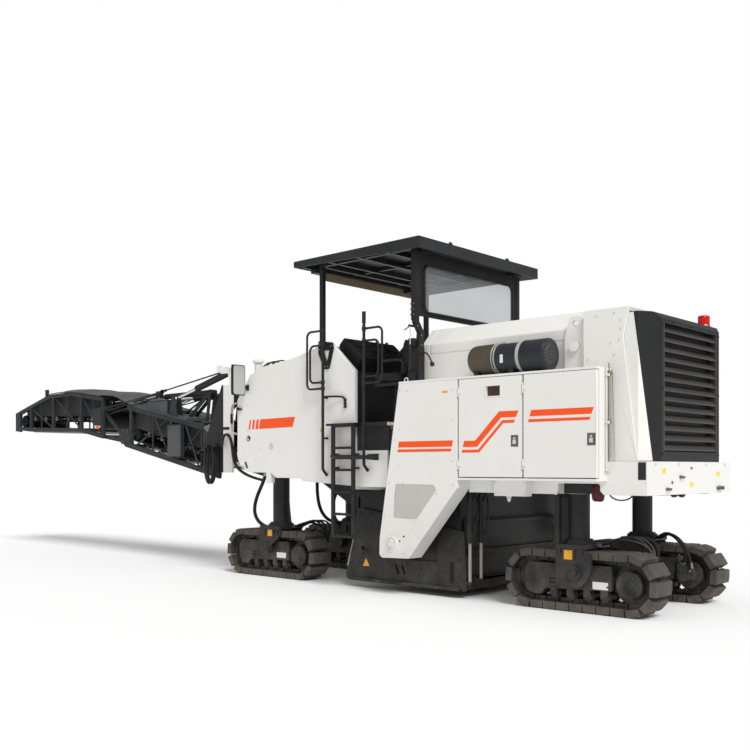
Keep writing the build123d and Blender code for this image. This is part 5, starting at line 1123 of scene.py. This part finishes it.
addTube(bm, [at(6.215, 0.900, 2.520), at(6.200, 0.905, 2.300), at(6.215, 0.905, 1.950),
             at(6.200, 0.900, 1.620)], 0.013, 10, 3)
addTube(bm, [at(6.235, 0.860, 2.480), at(6.225, 0.865, 2.200), at(6.240, 0.860, 1.800),
             at(6.225, 0.850, 1.600)], 0.013, 10, 3)
makePiece(bm, "front_wall_cables", "chassis", hoseRubber)
bm = bmesh.new()
for hand in (1, -1):
    for z in (2.46, 2.10, 1.70):
        sideBox(bm, 6.178, 6.230, 0.820, 0.940, z - 0.012, z + 0.012, hand, 0.003)
makePiece(bm, "front_wall_clamps", "chassis", darkPaint)

# belts: cleats across the carrying side
cleat = unitBox(0.80, 0.016, 0.014, 0.003)
for body, belt in belts.items():
    (rootX, rootZ), (tipX, tipZ) = belt["root"], belt["tip"]
    way = Vector((tipX - rootX, 0, tipZ - rootZ)).normalized()
    out = Vector((-way.z, 0, way.x))
    line = between(at(rootX, 0, rootZ), at(tipX, 0, tipZ), belt["cleats"])
    spots = [(point + out * 0.119, out, leftward) for point in line]
    repeatShape("cleats_" + body, cleat, spots, body, beltRubber)

# dark guards over the slewing frame's side plates
for hand, word in hands:
    bm = bmesh.new()
    sidePlate(bm, [(7.1465, 1.4495), (7.1465, 2.7805), (7.1815, 2.7805), (7.6035, 1.9020), (7.5635, 1.6370),
                   (7.2525, 1.4475)], 0.5745, 0.5790, hand)
    sidePlate(bm, [(6.9995, 2.100), (6.9995, 2.140), (7.2, 2.140), (7.2, 2.100)], 0.5745, 0.5810, hand)
    makePiece(bm, "slew_guard_" + word, "slew", darkPaint)
print("conveyor fitted")


# front corners: mirrors with a flat light grey face, a painted reflection; front hoses down to the crawlers
mirrorGrey = finish("mirrorGrey", (0.44, 0.455, 0.43), (0.40, 0.41, 0.39), 0.10, shine=0.5, grain=60,
                    bump=0.0, roughSpread=0.03)
mirror = {
    "low": (1.205, 2.565), "high": (1.345, 2.905), "round": 0.040, "middle": (1.275, 2.735), "back": 5.926,
    "depth": 0.040, "faceWide": 0.90, "faceHigh": 0.945, "faceDepth": 0.0035,
}
legHoses = (
    ((5.900, 0.800, 1.470), (5.956, 0.800, 1.323), (6.091, 0.800, 1.155), (6.173, 0.800, 0.936),
     (6.140, 0.790, 0.796), (6.060, 0.760, 0.710), (5.960, 0.730, 0.680)),
    ((5.990, 0.300, 1.500), (6.007, 0.300, 1.270), (5.997, 0.300, 1.000), (5.901, 0.350, 0.760),
     (5.800, 0.440, 0.700), (5.720, 0.520, 0.690)),
)
for hand, word in hands:
    outline = roundedOutline(mirror["low"], mirror["high"], mirror["round"], (0, 22, 45, 68, 90))
    plane = Matrix(((0, 0, 1, rearFace + mirror["back"]), (hand, 0, 0, 0), (0, 1, 0, 0), (0, 0, 0, 1)))
    bm = bmesh.new()
    addPrism(bm, outline, mirror["depth"], plane, 0.008)
    addRod(bm, at(5.948, hand * 1.275, 2.640), at(5.948, hand * 1.095, 2.640), 0.0145, 14)
    sideBox(bm, 5.920, 5.976, 1.098, 1.112, 2.600, 2.680, hand, 0.004)
    addRod(bm, at(5.966, hand * 1.275, 2.600), at(5.966, hand * 1.275, 2.680), 0.022, 14, 0.003)
    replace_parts(makePiece(bm, "mirror_shell_" + word, "chassis", moulded), "mirror_" + word)
    # light grey mirror face: painted reflection
    bm = bmesh.new()
    y0, z0 = mirror["middle"]
    glass = [(y0 + (y - y0) * mirror["faceWide"], z0 + (z - z0) * mirror["faceHigh"]) for y, z in outline]
    addPrism(bm, glass, mirror["faceDepth"], Matrix.Translation((-0.0022, 0, 0)) @ plane, 0.0)
    makePiece(bm, "mirror_face_" + word, "chassis", mirrorGrey)
    body = "crawler_front_" + word
    for index, route in enumerate(legHoses):
        bm = bmesh.new()
        addTube(bm, [at(x, hand * y, z) for x, y, z in route], 0.025, 14, 4)
        makeBlend(bm, f"leg_hose_{word}_{index}",
                  hoseRubber)
    bm = bmesh.new()
    for x, y, z in ((5.910, 0.800, 1.440), (5.992, 0.300, 1.440)):
        addRod(bm, at(x, hand * y, z + 0.03), at(x, hand * y, z - 0.035), 0.033, 14, 0.003)
    makePiece(bm, "leg_hose_ends_" + word, "chassis", boltSteel)
    bm = bmesh.new()
    sideBox(bm, 5.475, 5.560, 1.020, 1.098, 1.310, 1.470, hand, 0.008)
    makePiece(bm, "jack_bracket_" + word, "chassis", whitePaint)
    addSideBolts("chassis", ventGrey, hand, sideFace["body"],
                 ((5.950, 2.400), (5.950, 2.050), (5.780, 1.620), (5.730, 1.600), (4.500, 1.500),
                  (4.500, 2.900), (4.460, 2.600), (5.700, 1.780)), 0.6)

# front body: holes, port, grab bars, fittings
holeBlack = finish("holeBlack", (0.010, 0.009, 0.009), (0.016, 0.014, 0.013), 0.6, grain=60, bump=0.0)
for hand, word in hands:
    face = facing(hand)
    # black disc in the hole and black plate in the slot: painted shade inside them
    bm = bmesh.new()
    addLathe(bm, [(-0.002, 0), (-0.002, 0.040), (0.0022, 0.040), (0.0022, 0.030), (-0.004, 0.024),
                  (-0.004, 0)], at(5.932, hand * sideFace["body"], 1.930), face, 28)
    sidePlate(bm, [(6.018, 1.600), (5.992, 1.606), (5.948, 1.520), (5.972, 1.508)], 1.096, 1.1008, hand)
    makePiece(bm, "body_hole_" + word, "chassis", holeBlack)
    # grey ring of the port, its grey a painted shade of the recess
    bm = bmesh.new()
    addLathe(bm, [(-0.002, 0.046), (0.0025, 0.046), (0.0055, 0.040), (0.0005, 0.034), (0.0003, 0)],
             at(5.454, hand * sideFace["body"], 1.814), face, 28)
    makePiece(bm, "body_port_" + word, "chassis", ventGrey)
    # grab bar in the body's front corner, valve and its elbow
    bm = bmesh.new()
    addTube(bm, [at(6.220, hand * 1.065, 2.440), at(6.318, hand * 1.075, 2.430),
                 at(6.330, hand * 1.078, 2.360), at(6.330, hand * 1.078, 2.080),
                 at(6.318, hand * 1.075, 2.012), at(6.220, hand * 1.065, 2.000)], 0.015, 12, 4)
    makePiece(bm, "grab_bar_" + word, "chassis", bandGrey)
    bm = bmesh.new()
    addRod(bm, at(6.141, hand * 1.085, 2.351), at(6.141, hand * 1.135, 2.351), 0.022, 14, 0.003)
    addRod(bm, at(6.141, hand * 1.120, 2.351), at(6.060, hand * 1.122, 2.340), 0.013, 12, 0.002)
    addRod(bm, at(6.330, hand * 1.078, 2.290), at(6.330, hand * 1.078, 2.150), 0.019, 14, 0.003)
    # dark sheet inside the opening below the platform, a painted shade of that recess; its edge, and the bar
    # beside the ladder
    sideBox(bm, 3.352, 3.884, 1.040, 1.056, 1.736, 2.038, hand, 0.0)
    sideBox(bm, 3.348, 3.886, 1.0985, 1.1035, 2.030, 2.082, hand, 0.001)
    sideBox(bm, 3.348, 4.200, 1.090, 1.1015, 2.078, 2.086, hand, 0.001)
    if hand > 0:
        addRod(bm, at(4.200, 1.205, 1.668), at(3.520, 1.205, 1.655), 0.021, 14, 0.003)
        addPlate(bm, [(3.560, 1.690), (3.411, 1.694), (3.411, 1.612), (3.560, 1.622)], 1.180, 1.228, 0.006)
    makePiece(bm, "body_fittings_" + word, "chassis", moulded)
bm = bmesh.new()
addBox(bm, 4.455, 4.500, 1.0995, 1.1030, 1.990, 2.035, 0.0)
makePiece(bm, "plate_body", "chassis", plateYellow)

# canopy: ribs, tan linings, lamps, roof eyes, rubber round the window, bolts at the joints, struts
canopy = {
    "ribs": (3.30, 3.75, 4.20, 4.68), "wide": 0.045, "half": 1.225, "low": 4.118, "high": 4.183,
    "joists": (-0.62, 0.30), "post": 1.114, "strut": 1.125,
}
ladder = {
    "first": 0.660, "pitch": 0.277, "treads": 6, "firstRight": 3, "bar": 1.185, "grip": 0.0165, "grips": 10,
}
bm = bmesh.new()
for x in canopy["ribs"]:
    addBox(bm, x, x + canopy["wide"], -canopy["half"], canopy["half"], canopy["low"], canopy["high"], 0.004)
for y in canopy["joists"]:
    addBox(bm, 2.75, 4.81, y - 0.02, y + 0.02, 4.140, canopy["high"], 0.004)
makePiece(bm, "roof_ribs", "chassis", darkPaint)
bm = bmesh.new()
addBox(bm, 2.760, 4.800, -1.2305, -1.2270, 4.078, 4.170, 0.0)
addBox(bm, 4.770, 4.790, -1.200, 0.780, 4.030, 4.178, 0.006)
for y0, y1 in ((0.10, 0.50), (-0.55, -0.12)):
    addBox(bm, 2.790, 2.880, y0, y1, 4.160, 4.182, 0.004)
makePiece(bm, "roof_linings", "chassis", fasciaTan)
bm = bmesh.new()
for y in (-0.560, 0.637):
    addLathe(bm, [(0, 0.030), (0.012, 0.030), (0.020, 0.018), (0.030, 0.016), (0.032, 0)],
             at(2.740, y, 4.210), upward, 18)
for hand in (1, -1):
    for x in (2.82, 4.66):
        sideBox(bm, x, x + 0.10, 0.86, 1.02, 4.080, 4.135, hand, 0.012)
makePiece(bm, "roof_eyes_lamps", "chassis", moulded)
window = {
    "low": (-0.845, 3.465), "high": (0.845, 3.860), "round": 0.083, "x": 2.898,
    "rubber": 0.0125, "lap": 0.003,
}
bm = bmesh.new()
rimLine = roundedOutline(window["low"], window["high"], window["round"], range(0, 91, 15))
rim = [at(window["x"], y, z) for y, z in rimLine]
for low, high in zip(rim, rim[1:] + rim[:1]):
    addRod(bm, low, high + (high - low).normalized() * window["lap"], window["rubber"], 8)
makePiece(bm, "window_rubber", "chassis", hoseRubber, 60)
for hand, word in hands:
    rearJoint = [at(2.900, hand * y, z) for y, z in ((1.060, 3.20), (0.985, 3.10), (0.985, 2.98))]
    addBolts("chassis", boltSteel, rearward, rearJoint, 0.62)
    sideJoint = [(x, z) for x in (2.918, 2.962) for z in (3.463, 3.400, 3.337)]
    addSideBolts("chassis", boltSteel, hand, canopy["post"], sideJoint, 0.62)
    addSideBolts("chassis", boltSteel, hand, canopy["post"],
                 ((4.50, 3.13), (4.50, 3.05), (4.40, 2.82), (4.35, 2.82), (4.30, 3.08)), 0.8)
    bm = bmesh.new()
    addRod(bm, at(2.960, hand * canopy["strut"], 3.200), at(2.962, hand * canopy["strut"], 2.960), 0.006, 10)
    makePiece(bm, "canopy_strut_" + word, "chassis", ventGrey)
    bm = bmesh.new()
    addRod(bm, at(2.962, hand * canopy["strut"], 2.965), at(2.968, hand * canopy["strut"], 2.690),
           0.016, 14, 0.003)
    makePiece(bm, "strut_barrel_" + word, "chassis", moulded)
    bm = bmesh.new()
    for z in (3.205, 2.970, 2.685):
        addRod(bm, at(2.964, hand * 1.060, z), at(2.964, hand * 1.145, z), 0.014, 12, 0.002)
    addRod(bm, at(2.964, hand * 1.120, 3.205), at(3.020, hand * 1.165, 3.150), 0.006, 8)
    sideBox(bm, 2.930, 3.030, 1.040, 1.100, 2.536, 2.640, hand, 0.006)
    sideBox(bm, 2.940, 3.020, 1.040, 1.090, 2.960, 3.060, hand, 0.010)
    makePiece(bm, "strut_ends_" + word, "chassis", darkPaint)
    neckRoute = [at(2.905, hand * 0.960, 2.850), at(2.870, hand * 0.990, 2.900),
                 at(2.780, hand * 1.020, 2.880), at(2.720, hand * 1.040, 2.800),
                 at(2.690, hand * 1.045, 2.735)]
    bm = bmesh.new()
    addTube(bm, neckRoute, 0.009, 10, 4)
    addLathe(bm, [(-0.030, 0), (-0.028, 0.014), (-0.012, 0.026), (0.008, 0.028), (0.024, 0.018), (0.028, 0)],
             neckRoute[-1], (-0.3, 0, -1), 20)
    makePiece(bm, "neck_lamp_" + word, "chassis", hoseRubber)
    bm = bmesh.new()
    ring = [at(3.000 + 0.026 * math.cos(a), hand * 1.150, 2.560 + 0.026 * math.sin(a))
            for a in anglesRound(14)]
    for low, high in zip(ring, ring[1:] + ring[:1]):
        addRod(bm, low, high, 0.006, 8)
    makePiece(bm, "tie_ring_" + word, "chassis", whitePaint, 60)
    # handle and clamps on the tall bars, rubber grips on the treads
    bm = bmesh.new()
    addTube(bm, [at(4.370, hand * ladder["bar"], 2.430), at(4.200, hand * 1.160, 2.428),
                 at(4.070, hand * 1.120, 2.420), at(4.045, hand * 1.112, 2.380),
                 at(4.045, hand * 1.110, 2.300)], 0.014, 10, 3)
    for z in (2.39, 2.34, 2.30):
        addRod(bm, at(4.045, hand * 1.111, z), at(4.045, hand * 1.111, z - 0.022), 0.022, 14, 0.003)
    for x, heights in ((4.370, (2.535, 2.615, 3.090, 3.275)), (3.653, (2.560, 2.640, 3.080, 3.230))):
        for z in heights:
            addRod(bm, at(x, hand * ladder["bar"], z - 0.026), at(x, hand * ladder["bar"], z + 0.026),
                   0.026, 16, 0.004)
    if hand > 0:
        for index in range(ladder["treads"]):
            z = ladder["first"] + ladder["pitch"] * index
            addBox(bm, 3.846, 4.144, 1.158, 1.212, z + 0.0115, z + ladder["grip"], 0.002)
    makePiece(bm, "bar_clamps_" + word, "chassis", moulded)
    levels = range(0 if hand > 0 else ladder["firstRight"], ladder["treads"])
    heights = [ladder["first"] + ladder["pitch"] * row + ladder["grip"] for row in levels]
    grips = [at(3.86 + 0.03 * i, hand * ladder["bar"], z) for z in heights for i in range(ladder["grips"])]
    addBolts("chassis", moulded, upward, grips, 0.55)
    addSideBolts("chassis", boltSteel, hand, 1.205, ((3.820, 1.650), (4.170, 1.650)), 0.9)

# consoles: panels, screens, knobs, levers; rails on the platform
console = {
    "foot": (3.936, 2.945), "spans": ((-0.030, 0.920), (-0.920, -0.250)), "knobs": 9,
    "firstRow": 0.060, "rowPitch": 0.055, "levers": (0.42, 0.62),
}
slope = Vector((0.7624, 0, 0.6471))  # up along the panel
normal = Vector((-0.6471, 0, 0.7624))  # out of it


def onPanel(y, along, lift=0.0):
    return at(console["foot"][0], y, console["foot"][1]) + slope * along + normal * lift


def addPanelBox(bm, y0, y1, s0, s1, lift, bevel=0.004):
    matrix = Matrix(((slope.x, 0, normal.x, 0), (0, 1, 0, 0), (slope.z, 0, normal.z, 0), (0, 0, 0, 1)))
    addPrism(bm, [(s0, y0), (s1, y0), (s1, y1), (s0, y1)], lift + 0.001,
             Matrix.Translation(onPanel(0, 0, -0.001)) @ matrix, bevel)


screenGrey = finish("screenGrey", (0.030, 0.033, 0.036), (0.04, 0.04, 0.042), 0.16, shine=0.5, grain=40,
                    bump=0.0)
knob = bmesh.new()
addLathe(knob, [(0, 0.016), (0.006, 0.016), (0.008, 0.012), (0.022, 0.011), (0.024, 0.008), (0.024, 0)],
         Vector((0, 0, 0)), upward, 20)
knob = shapeFrom(knob)
for index, (low, high) in enumerate(console["spans"]):
    wide = high - low
    bm = bmesh.new()
    addPanelBox(bm, low + 0.03, high - 0.03, 0.020, 0.370, 0.006)
    addPanelBox(bm, low + 0.06, low + 0.30, 0.180, 0.345, 0.022, 0.006)
    addPanelBox(bm, high - 0.24, high - 0.07, 0.200, 0.345, 0.018, 0.006)
    makePiece(bm, f"console_panel_{index}", "chassis", moulded)
    bm = bmesh.new()
    addPanelBox(bm, low + 0.08, low + 0.28, 0.200, 0.328, 0.0235, 0.0)
    addPanelBox(bm, high - 0.22, high - 0.09, 0.220, 0.328, 0.0195, 0.0)
    makePiece(bm, f"console_screen_{index}", "chassis", screenGrey)
    rows = (console["firstRow"], console["firstRow"] + console["rowPitch"])
    places = [low + 0.09 + (wide - 0.18) * i / (console["knobs"] - 1) for i in range(console["knobs"])]
    spots = [(onPanel(y, row, 0.006), normal, leftward) for row in rows for y in places]
    repeatShape(f"console_knobs_{index}", knob, spots, "chassis", hoseRubber)
    bm = bmesh.new()
    for share in console["levers"]:
        foot = onPanel(low + wide * share, 0.14)
        top = foot + Vector((-0.03, 0, 0.07))
        addLathe(bm, [(0, 0.030), (0.012, 0.026), (0.030, 0.012), (0.030, 0)], foot, normal, 20)
        addRod(bm, foot, top, 0.007, 10)
        addLathe(bm, [(-0.01, 0.008), (0.0, 0.016), (0.03, 0.021), (0.055, 0.019), (0.066, 0.008),
                      (0.066, 0)], top, (-0.2, 0, 1), 20)
    makePiece(bm, f"console_levers_{index}", "chassis", hoseRubber)
bm = bmesh.new()
for y in (-0.98, 0.98):
    addTube(bm, [at(4.420, y, 2.10), at(4.420, y, 2.600), at(4.420, y, 3.030), at(4.330, y, 3.060),
                 at(4.200, y, 3.040)], 0.017, 12, 3)
addBox(bm, 3.040, 4.440, -0.995, 0.995, 2.0795, 2.0845, 0.0)
makePiece(bm, "station_rails_mat", "chassis", moulded)


# seats: crowned cushions with piping, on a pan and a turned post
def addCushion(bm, size, crown, count=16):
    # closed pillow round the origin: sides pulled in, top and bottom crowned
    sx, sy, sz = (s / 2 for s in size)
    grid = {}
    for side in (1, -1):
        for i in range(count + 1):
            for j in range(count + 1):
                edge = i in (0, count) or j in (0, count)
                if side < 0 and edge:
                    grid[side, i, j] = grid[1, i, j]
                    continue
                u, v = 2 * i / count - 1, 2 * j / count - 1
                full = max(0.0, (1 - u ** 6) * (1 - v ** 6)) ** 0.40
                x = sx * u * (1 - 0.045 * (1 - v * v) * u * u)
                y = sy * v * (1 - 0.045 * (1 - u * u) * v * v)
                z = side * (sz * full + crown * (1 - u * u) * (1 - v * v) * (1 if side > 0 else 0.1))
                grid[side, i, j] = bm.verts.new((x, y, z))
    for side in (1, -1):
        for i in range(count):
            for j in range(count):
                corners = [grid[side, i, j], grid[side, i + 1, j], grid[side, i + 1, j + 1],
                           grid[side, i, j + 1]]
                bm.faces.new(corners if side > 0 else corners[::-1])


def addPiping(bm, size, radius, count=40):
    # round bead along the cushion's waist
    sx, sy = size[0] / 2, size[1] / 2
    line = []
    for a in anglesRound(count):
        c, s = math.cos(a), math.sin(a)
        line.append(Vector((sx * math.copysign(abs(c) ** 0.28, c) * 0.985,
                            sy * math.copysign(abs(s) ** 0.28, s) * 0.985, 0.0)))
    for low, high in zip(line, line[1:] + line[:1]):
        addRod(bm, low, high, radius, 8)


seat = {
    "y": 0.700, "pad": (0.500, 0.440, 0.115), "padPlace": (3.520, 2.640), "padTilt": -3,
    "back": (0.440, 0.420, 0.105), "backPlace": (3.255, 2.870), "backTilt": 82,
    "crown": 0.016, "piping": 0.0055, "post": 3.530,
}
for hand, word in hands:
    for part in ("pad", "back"):
        x, z = seat[part + "Place"]
        tilt = Matrix.Rotation(math.radians(seat[part + "Tilt"]), 4, "Y")
        bm = bmesh.new()
        addCushion(bm, seat[part], seat["crown"])
        addPiping(bm, seat[part], seat["piping"])
        bm.transform(Matrix.Translation(at(x, hand * seat["y"], z)) @ tilt)
        makePiece(bm, f"seat_{part}_{word}", "chassis", vinyl, 60)
bm = bmesh.new()
for hand in (1, -1):
    y = hand * seat["y"]
    addBox(bm, 3.290, 3.740, y - 0.200, y + 0.200, 2.535, 2.578, 0.010)
    addBox(bm, 3.170, 3.215, y - 0.170, y + 0.170, 2.640, 3.020, 0.012)
    addBox(bm, 3.190, 3.330, y - 0.120, y + 0.120, 2.560, 2.600, 0.010)
    addLathe(bm, [(0, 0.150), (0.014, 0.150), (0.020, 0.142), (0.024, 0.060), (0.300, 0.056), (0.300, 0.042),
                  (0.460, 0.040), (0.460, 0)], at(seat["post"], y, 2.080), upward, 28)
    for side in (1, -1):
        addTube(bm, [at(3.220, y + side * 0.235, 2.720), at(3.225, y + side * 0.240, 2.830),
                     at(3.330, y + side * 0.242, 2.850), at(3.560, y + side * 0.242, 2.840)], 0.016, 12, 3)
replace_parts(makePiece(bm, "seat_frames", "chassis", moulded), "seats")

# milling drum with its tool holders and picks on a helix
drum = {"x": 3.200, "z": 0.515, "radius": 0.400, "left": 0.800, "right": -1.150, "rows": 8, "tools": 17}
bm = bmesh.new()
addLathe(bm, [(-0.050, 0), (-0.050, 0.110), (0.0, 0.110), (0.0, 0.392), (0.008, 0.400), (1.942, 0.400),
              (1.950, 0.392), (1.950, 0.110), (2.000, 0.110), (2.000, 0)],
         at(drum["x"], drum["right"], drum["z"]), leftward, 64)
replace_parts(makePiece(bm, "drum_shell", "drum", cutterSteel), "milling_drum")
holder = bmesh.new()
addPrism(holder, [(-0.032, -0.006), (0.030, -0.006), (0.022, 0.050), (-0.012, 0.058)], 0.034,
         Matrix(((1, 0, 0, 0), (0, 0, 1, -0.017), (0, 1, 0, 0), (0, 0, 0, 1))), 0.003)
addLathe(holder, [(0, 0), (0, 0.015), (0.030, 0.013), (0.034, 0.009), (0.046, 0.007), (0.058, 0)],
         Vector((-0.004, 0, 0.040)), (0.55, 0, 0.84), 14)
holder = shapeFrom(holder)
tools = []
for row in range(drum["rows"]):
    for index in range(drum["tools"]):
        y = drum["right"] + 0.040 + index * (drum["left"] - drum["right"] - 0.080) / (drum["tools"] - 1)
        angle = -math.radians(row * 360 / drum["rows"] + index * 14)
        out = Vector((math.cos(angle), 0, math.sin(angle)))
        tools.append((at(drum["x"], y, drum["z"]) + out * drum["radius"], out, (-out.z, 0, out.x)))
repeatShape("drum_tools", holder, tools, "drum", cutterSteel)

# side plates and cylinders: bolts, wear pads, bright skins of the rods, rings and hoses on the barrels
cylinder = {
    "places": ((2.270, 0.8713), (2.270, -1.2213), (2.240, 0.700), (2.240, -1.050)),  # last two: moldboard
    "rod": 0.01915, "strut": 0.0153, "bore": 0.0250, "hose": 0.011,
    "rings": ((0.652, 0.038, 0.0395), (0.750, 0.022, 0.0420), (1.160, 0.022, 0.0420)),  # foot, height, radius
}
rodSteel = finish("rodSteel", (0.36, 0.345, 0.32), (0.28, 0.26, 0.24), 0.32, metal=0.35, grain=60, bump=0.0)
for hand, word in hands:
    body, face = "side_plate_" + word, sideFace["plate_" + word]
    bm = bmesh.new()
    for x in (2.70, 3.20, 3.70):
        sideBox(bm, x - 0.070, x + 0.070, face + 0.022, face + 0.030, 0.098, 0.122, hand, 0.003)
    makePiece(bm, "wear_pads_" + word, body, cutterSteel)
    addSideBolts(body, darkPaint, hand, face,
                 ((2.42, 0.20), (2.42, 0.45), (2.42, 0.70), (2.65, 0.78), (2.65, 0.30), (3.80, 0.94),
                  (3.98, 0.94), (4.04, 0.72), (4.10, 0.50), (4.16, 0.30), (3.75, 0.30), (3.00, 0.30),
                  (3.30, 0.94)), 0.85)
    y = hand * (face - 0.009)
    bm = bmesh.new()
    addRod(bm, at(2.270, y, 0.205), at(2.270, y, 0.648), cylinder["rod"], 28)
    addRod(bm, at(4.222, y, 0.265), at(4.110, y, 0.628), cylinder["strut"], 24)
    makePiece(bm, "plate_rods_chrome_" + word, body, rodSteel)
bm = bmesh.new()
for x, y in cylinder["places"][2:]:
    addRod(bm, at(x, y, 0.236), at(x, y, 0.648), cylinder["rod"], 28)
makePiece(bm, "board_rods_chrome", "moldboard", rodSteel)
bm = bmesh.new()
for x, y in cylinder["places"]:
    for z, high, radius in cylinder["rings"]:
        bore, rim = cylinder["bore"], radius - 0.002
        profile = [(0, bore), (0, rim), (0.002, radius), (high - 0.002, radius), (high, rim), (high, bore)]
        addLathe(bm, profile + profile[:1], at(x, y, z), upward, 28)
makePiece(bm, "barrel_rings", "chassis", darkPaint)
bm = bmesh.new()
for x, y in cylinder["places"]:
    way = 1 if y > 0 else -1
    addTube(bm, [at(x - 0.042, y, 0.760), at(x - 0.085, y, 0.780), at(x - 0.095, y - way * 0.02, 0.950),
                 at(x - 0.060, y - way * 0.06, 1.180), at(x + 0.04, y - way * 0.10, 1.290),
                 at(x + 0.10, y - way * 0.12, 1.330)], cylinder["hose"], 10, 4)
    addTube(bm, [at(x - 0.042, y, 1.140), at(x - 0.075, y, 1.160), at(x - 0.060, y - way * 0.03, 1.250),
                 at(x + 0.06, y - way * 0.08, 1.300), at(x + 0.12, y - way * 0.10, 1.340)],
            cylinder["hose"], 10, 4)
makePiece(bm, "barrel_hoses", "chassis", hoseRubber)


# white edge over the cooler's sides, rod behind the doors, arch over the rear legs, ladder rails, marks
def addSheet(bm, points, way, thick):
    way = Vector(way).normalized()
    low = [bm.verts.new(Vector(p) - way * 0.0006) for p in points]
    high = [bm.verts.new(Vector(p) + way * thick) for p in points]
    bm.faces.new(low)
    bm.faces.new(high[::-1])
    for i in range(len(points)):
        j = (i + 1) % len(points)
        bm.faces.new((low[i], low[j], high[j], high[i]))


edge = {
    "side": ((0.243, 3.086), (0.197, 3.086), (0.150, 2.740), (0.150, 1.593), (0.152, 1.593), (0.297, 2.850)),
    "thick": 0.0025,
}
rodBrass = finish("rodBrass", (0.30, 0.28, 0.21), (0.22, 0.20, 0.15), 0.4, grain=80, bump=0.05)
for hand, word in hands:
    bm = bmesh.new()
    face = hand * sideFace["cooler"]
    addSheet(bm, [at(x, face, z) for x, z in edge["side"]], (0, hand, 0), edge["thick"])
    corner = [at(0.150, face, 2.740), at(0.150, face, 1.593), at(0.059, hand * 0.7965, 1.593)]
    addSheet(bm, corner, (-0.826, hand * 0.564, 0), edge["thick"])
    sideBox(bm, 0.380, 0.492, 0.930, 0.944, 1.588, 2.530, hand, 0.002)
    makePiece(bm, "rear_edge_" + word, "chassis", whitePaint)
    addSideBolts("chassis", ventGrey, hand, 0.944, [(0.440, 1.66 + 0.16 * i) for i in range(6)], 0.5)
    bm = bmesh.new()
    addRod(bm, at(0.432, hand * 1.000, 2.585), at(0.432, hand * 1.000, 1.420), 0.0085, 12, 0.002)
    for z in (1.50, 2.00, 2.50):
        addRod(bm, at(0.432, hand * 1.000, z - 0.03), at(0.432, hand * 1.000, z + 0.03), 0.0125, 12, 0.002)
        sideBox(bm, 0.424, 0.440, 0.940, 0.998, z - 0.012, z + 0.012, hand, 0.001)
    makePiece(bm, "door_rod_" + word, "chassis", rodBrass)
    bm = bmesh.new()
    sidePlate(bm, [(0.990, 1.361), (0.601, 1.366), (0.520, 1.262), (0.678, 1.258), (0.678, 1.250),
                   (0.990, 1.250)], 0.930, 0.935, hand, 0.001)
    makePiece(bm, "leg_arch_" + word, "chassis", moulded)
    bm = bmesh.new()
    for x in (3.820, 4.170):
        sideBox(bm, x - 0.013, x + 0.040, 1.172, 1.198, 0.644 if hand > 0 else 1.476, 2.062, hand, 0.004)
    makePiece(bm, "ladder_rails_" + word, "chassis", darkPaint)
    face = sideFace["plate_" + word]
    bm = bmesh.new()
    sidePlate(bm, [(3.899, 0.378), (3.952, 0.276), (3.838, 0.278)], face - 0.0005, face + 0.0015, hand)
    makePiece(bm, "plate_triangle_" + word, "side_plate_" + word, plateYellow)
    bm = bmesh.new()
    sidePlate(bm, [(3.893 + 0.044 * math.cos(a), 0.482 + 0.027 * math.sin(a)) for a in anglesRound(20)],
              face - 0.0005, face + 0.001, hand)
    sidePlate(bm, [(2.496, 0.165), (2.562, 0.165), (2.562, 0.422), (2.496, 0.422)],
              face - 0.0005, face + 0.001, hand)
    makePiece(bm, "plate_marks_" + word, "side_plate_" + word, holeBlack)
bm = bmesh.new()
addLathe(bm, [(-0.001, 0.070), (0.004, 0.070), (0.008, 0.076), (0.008, 0.088), (0.004, 0.094),
              (-0.001, 0.094)], at(3.150, sideFace["cover"], 0.616), leftward, 36)
makePiece(bm, "cover_boss", "chassis", whitePaint)
bm = bmesh.new()
addLathe(bm, [(-0.001, 0), (-0.001, 0.012), (0.0015, 0.012), (0.0015, 0)],
         at(2.954, sideFace["cover"], 0.716), leftward, 16)
makePiece(bm, "cover_eye", "chassis", holeBlack)
print("station, drum and plates fitted")


# bolts and screws of every piece, one mesh for each body and finish
for (body, finishName), spots in boltSpots.items():
    repeatShape(f"bolts_{body}_{finishName}", bolt, spots, body, bpy.data.materials[finishName])
for shape in baseShapes:
    bpy.data.objects.remove(shape)
print("bolts set")
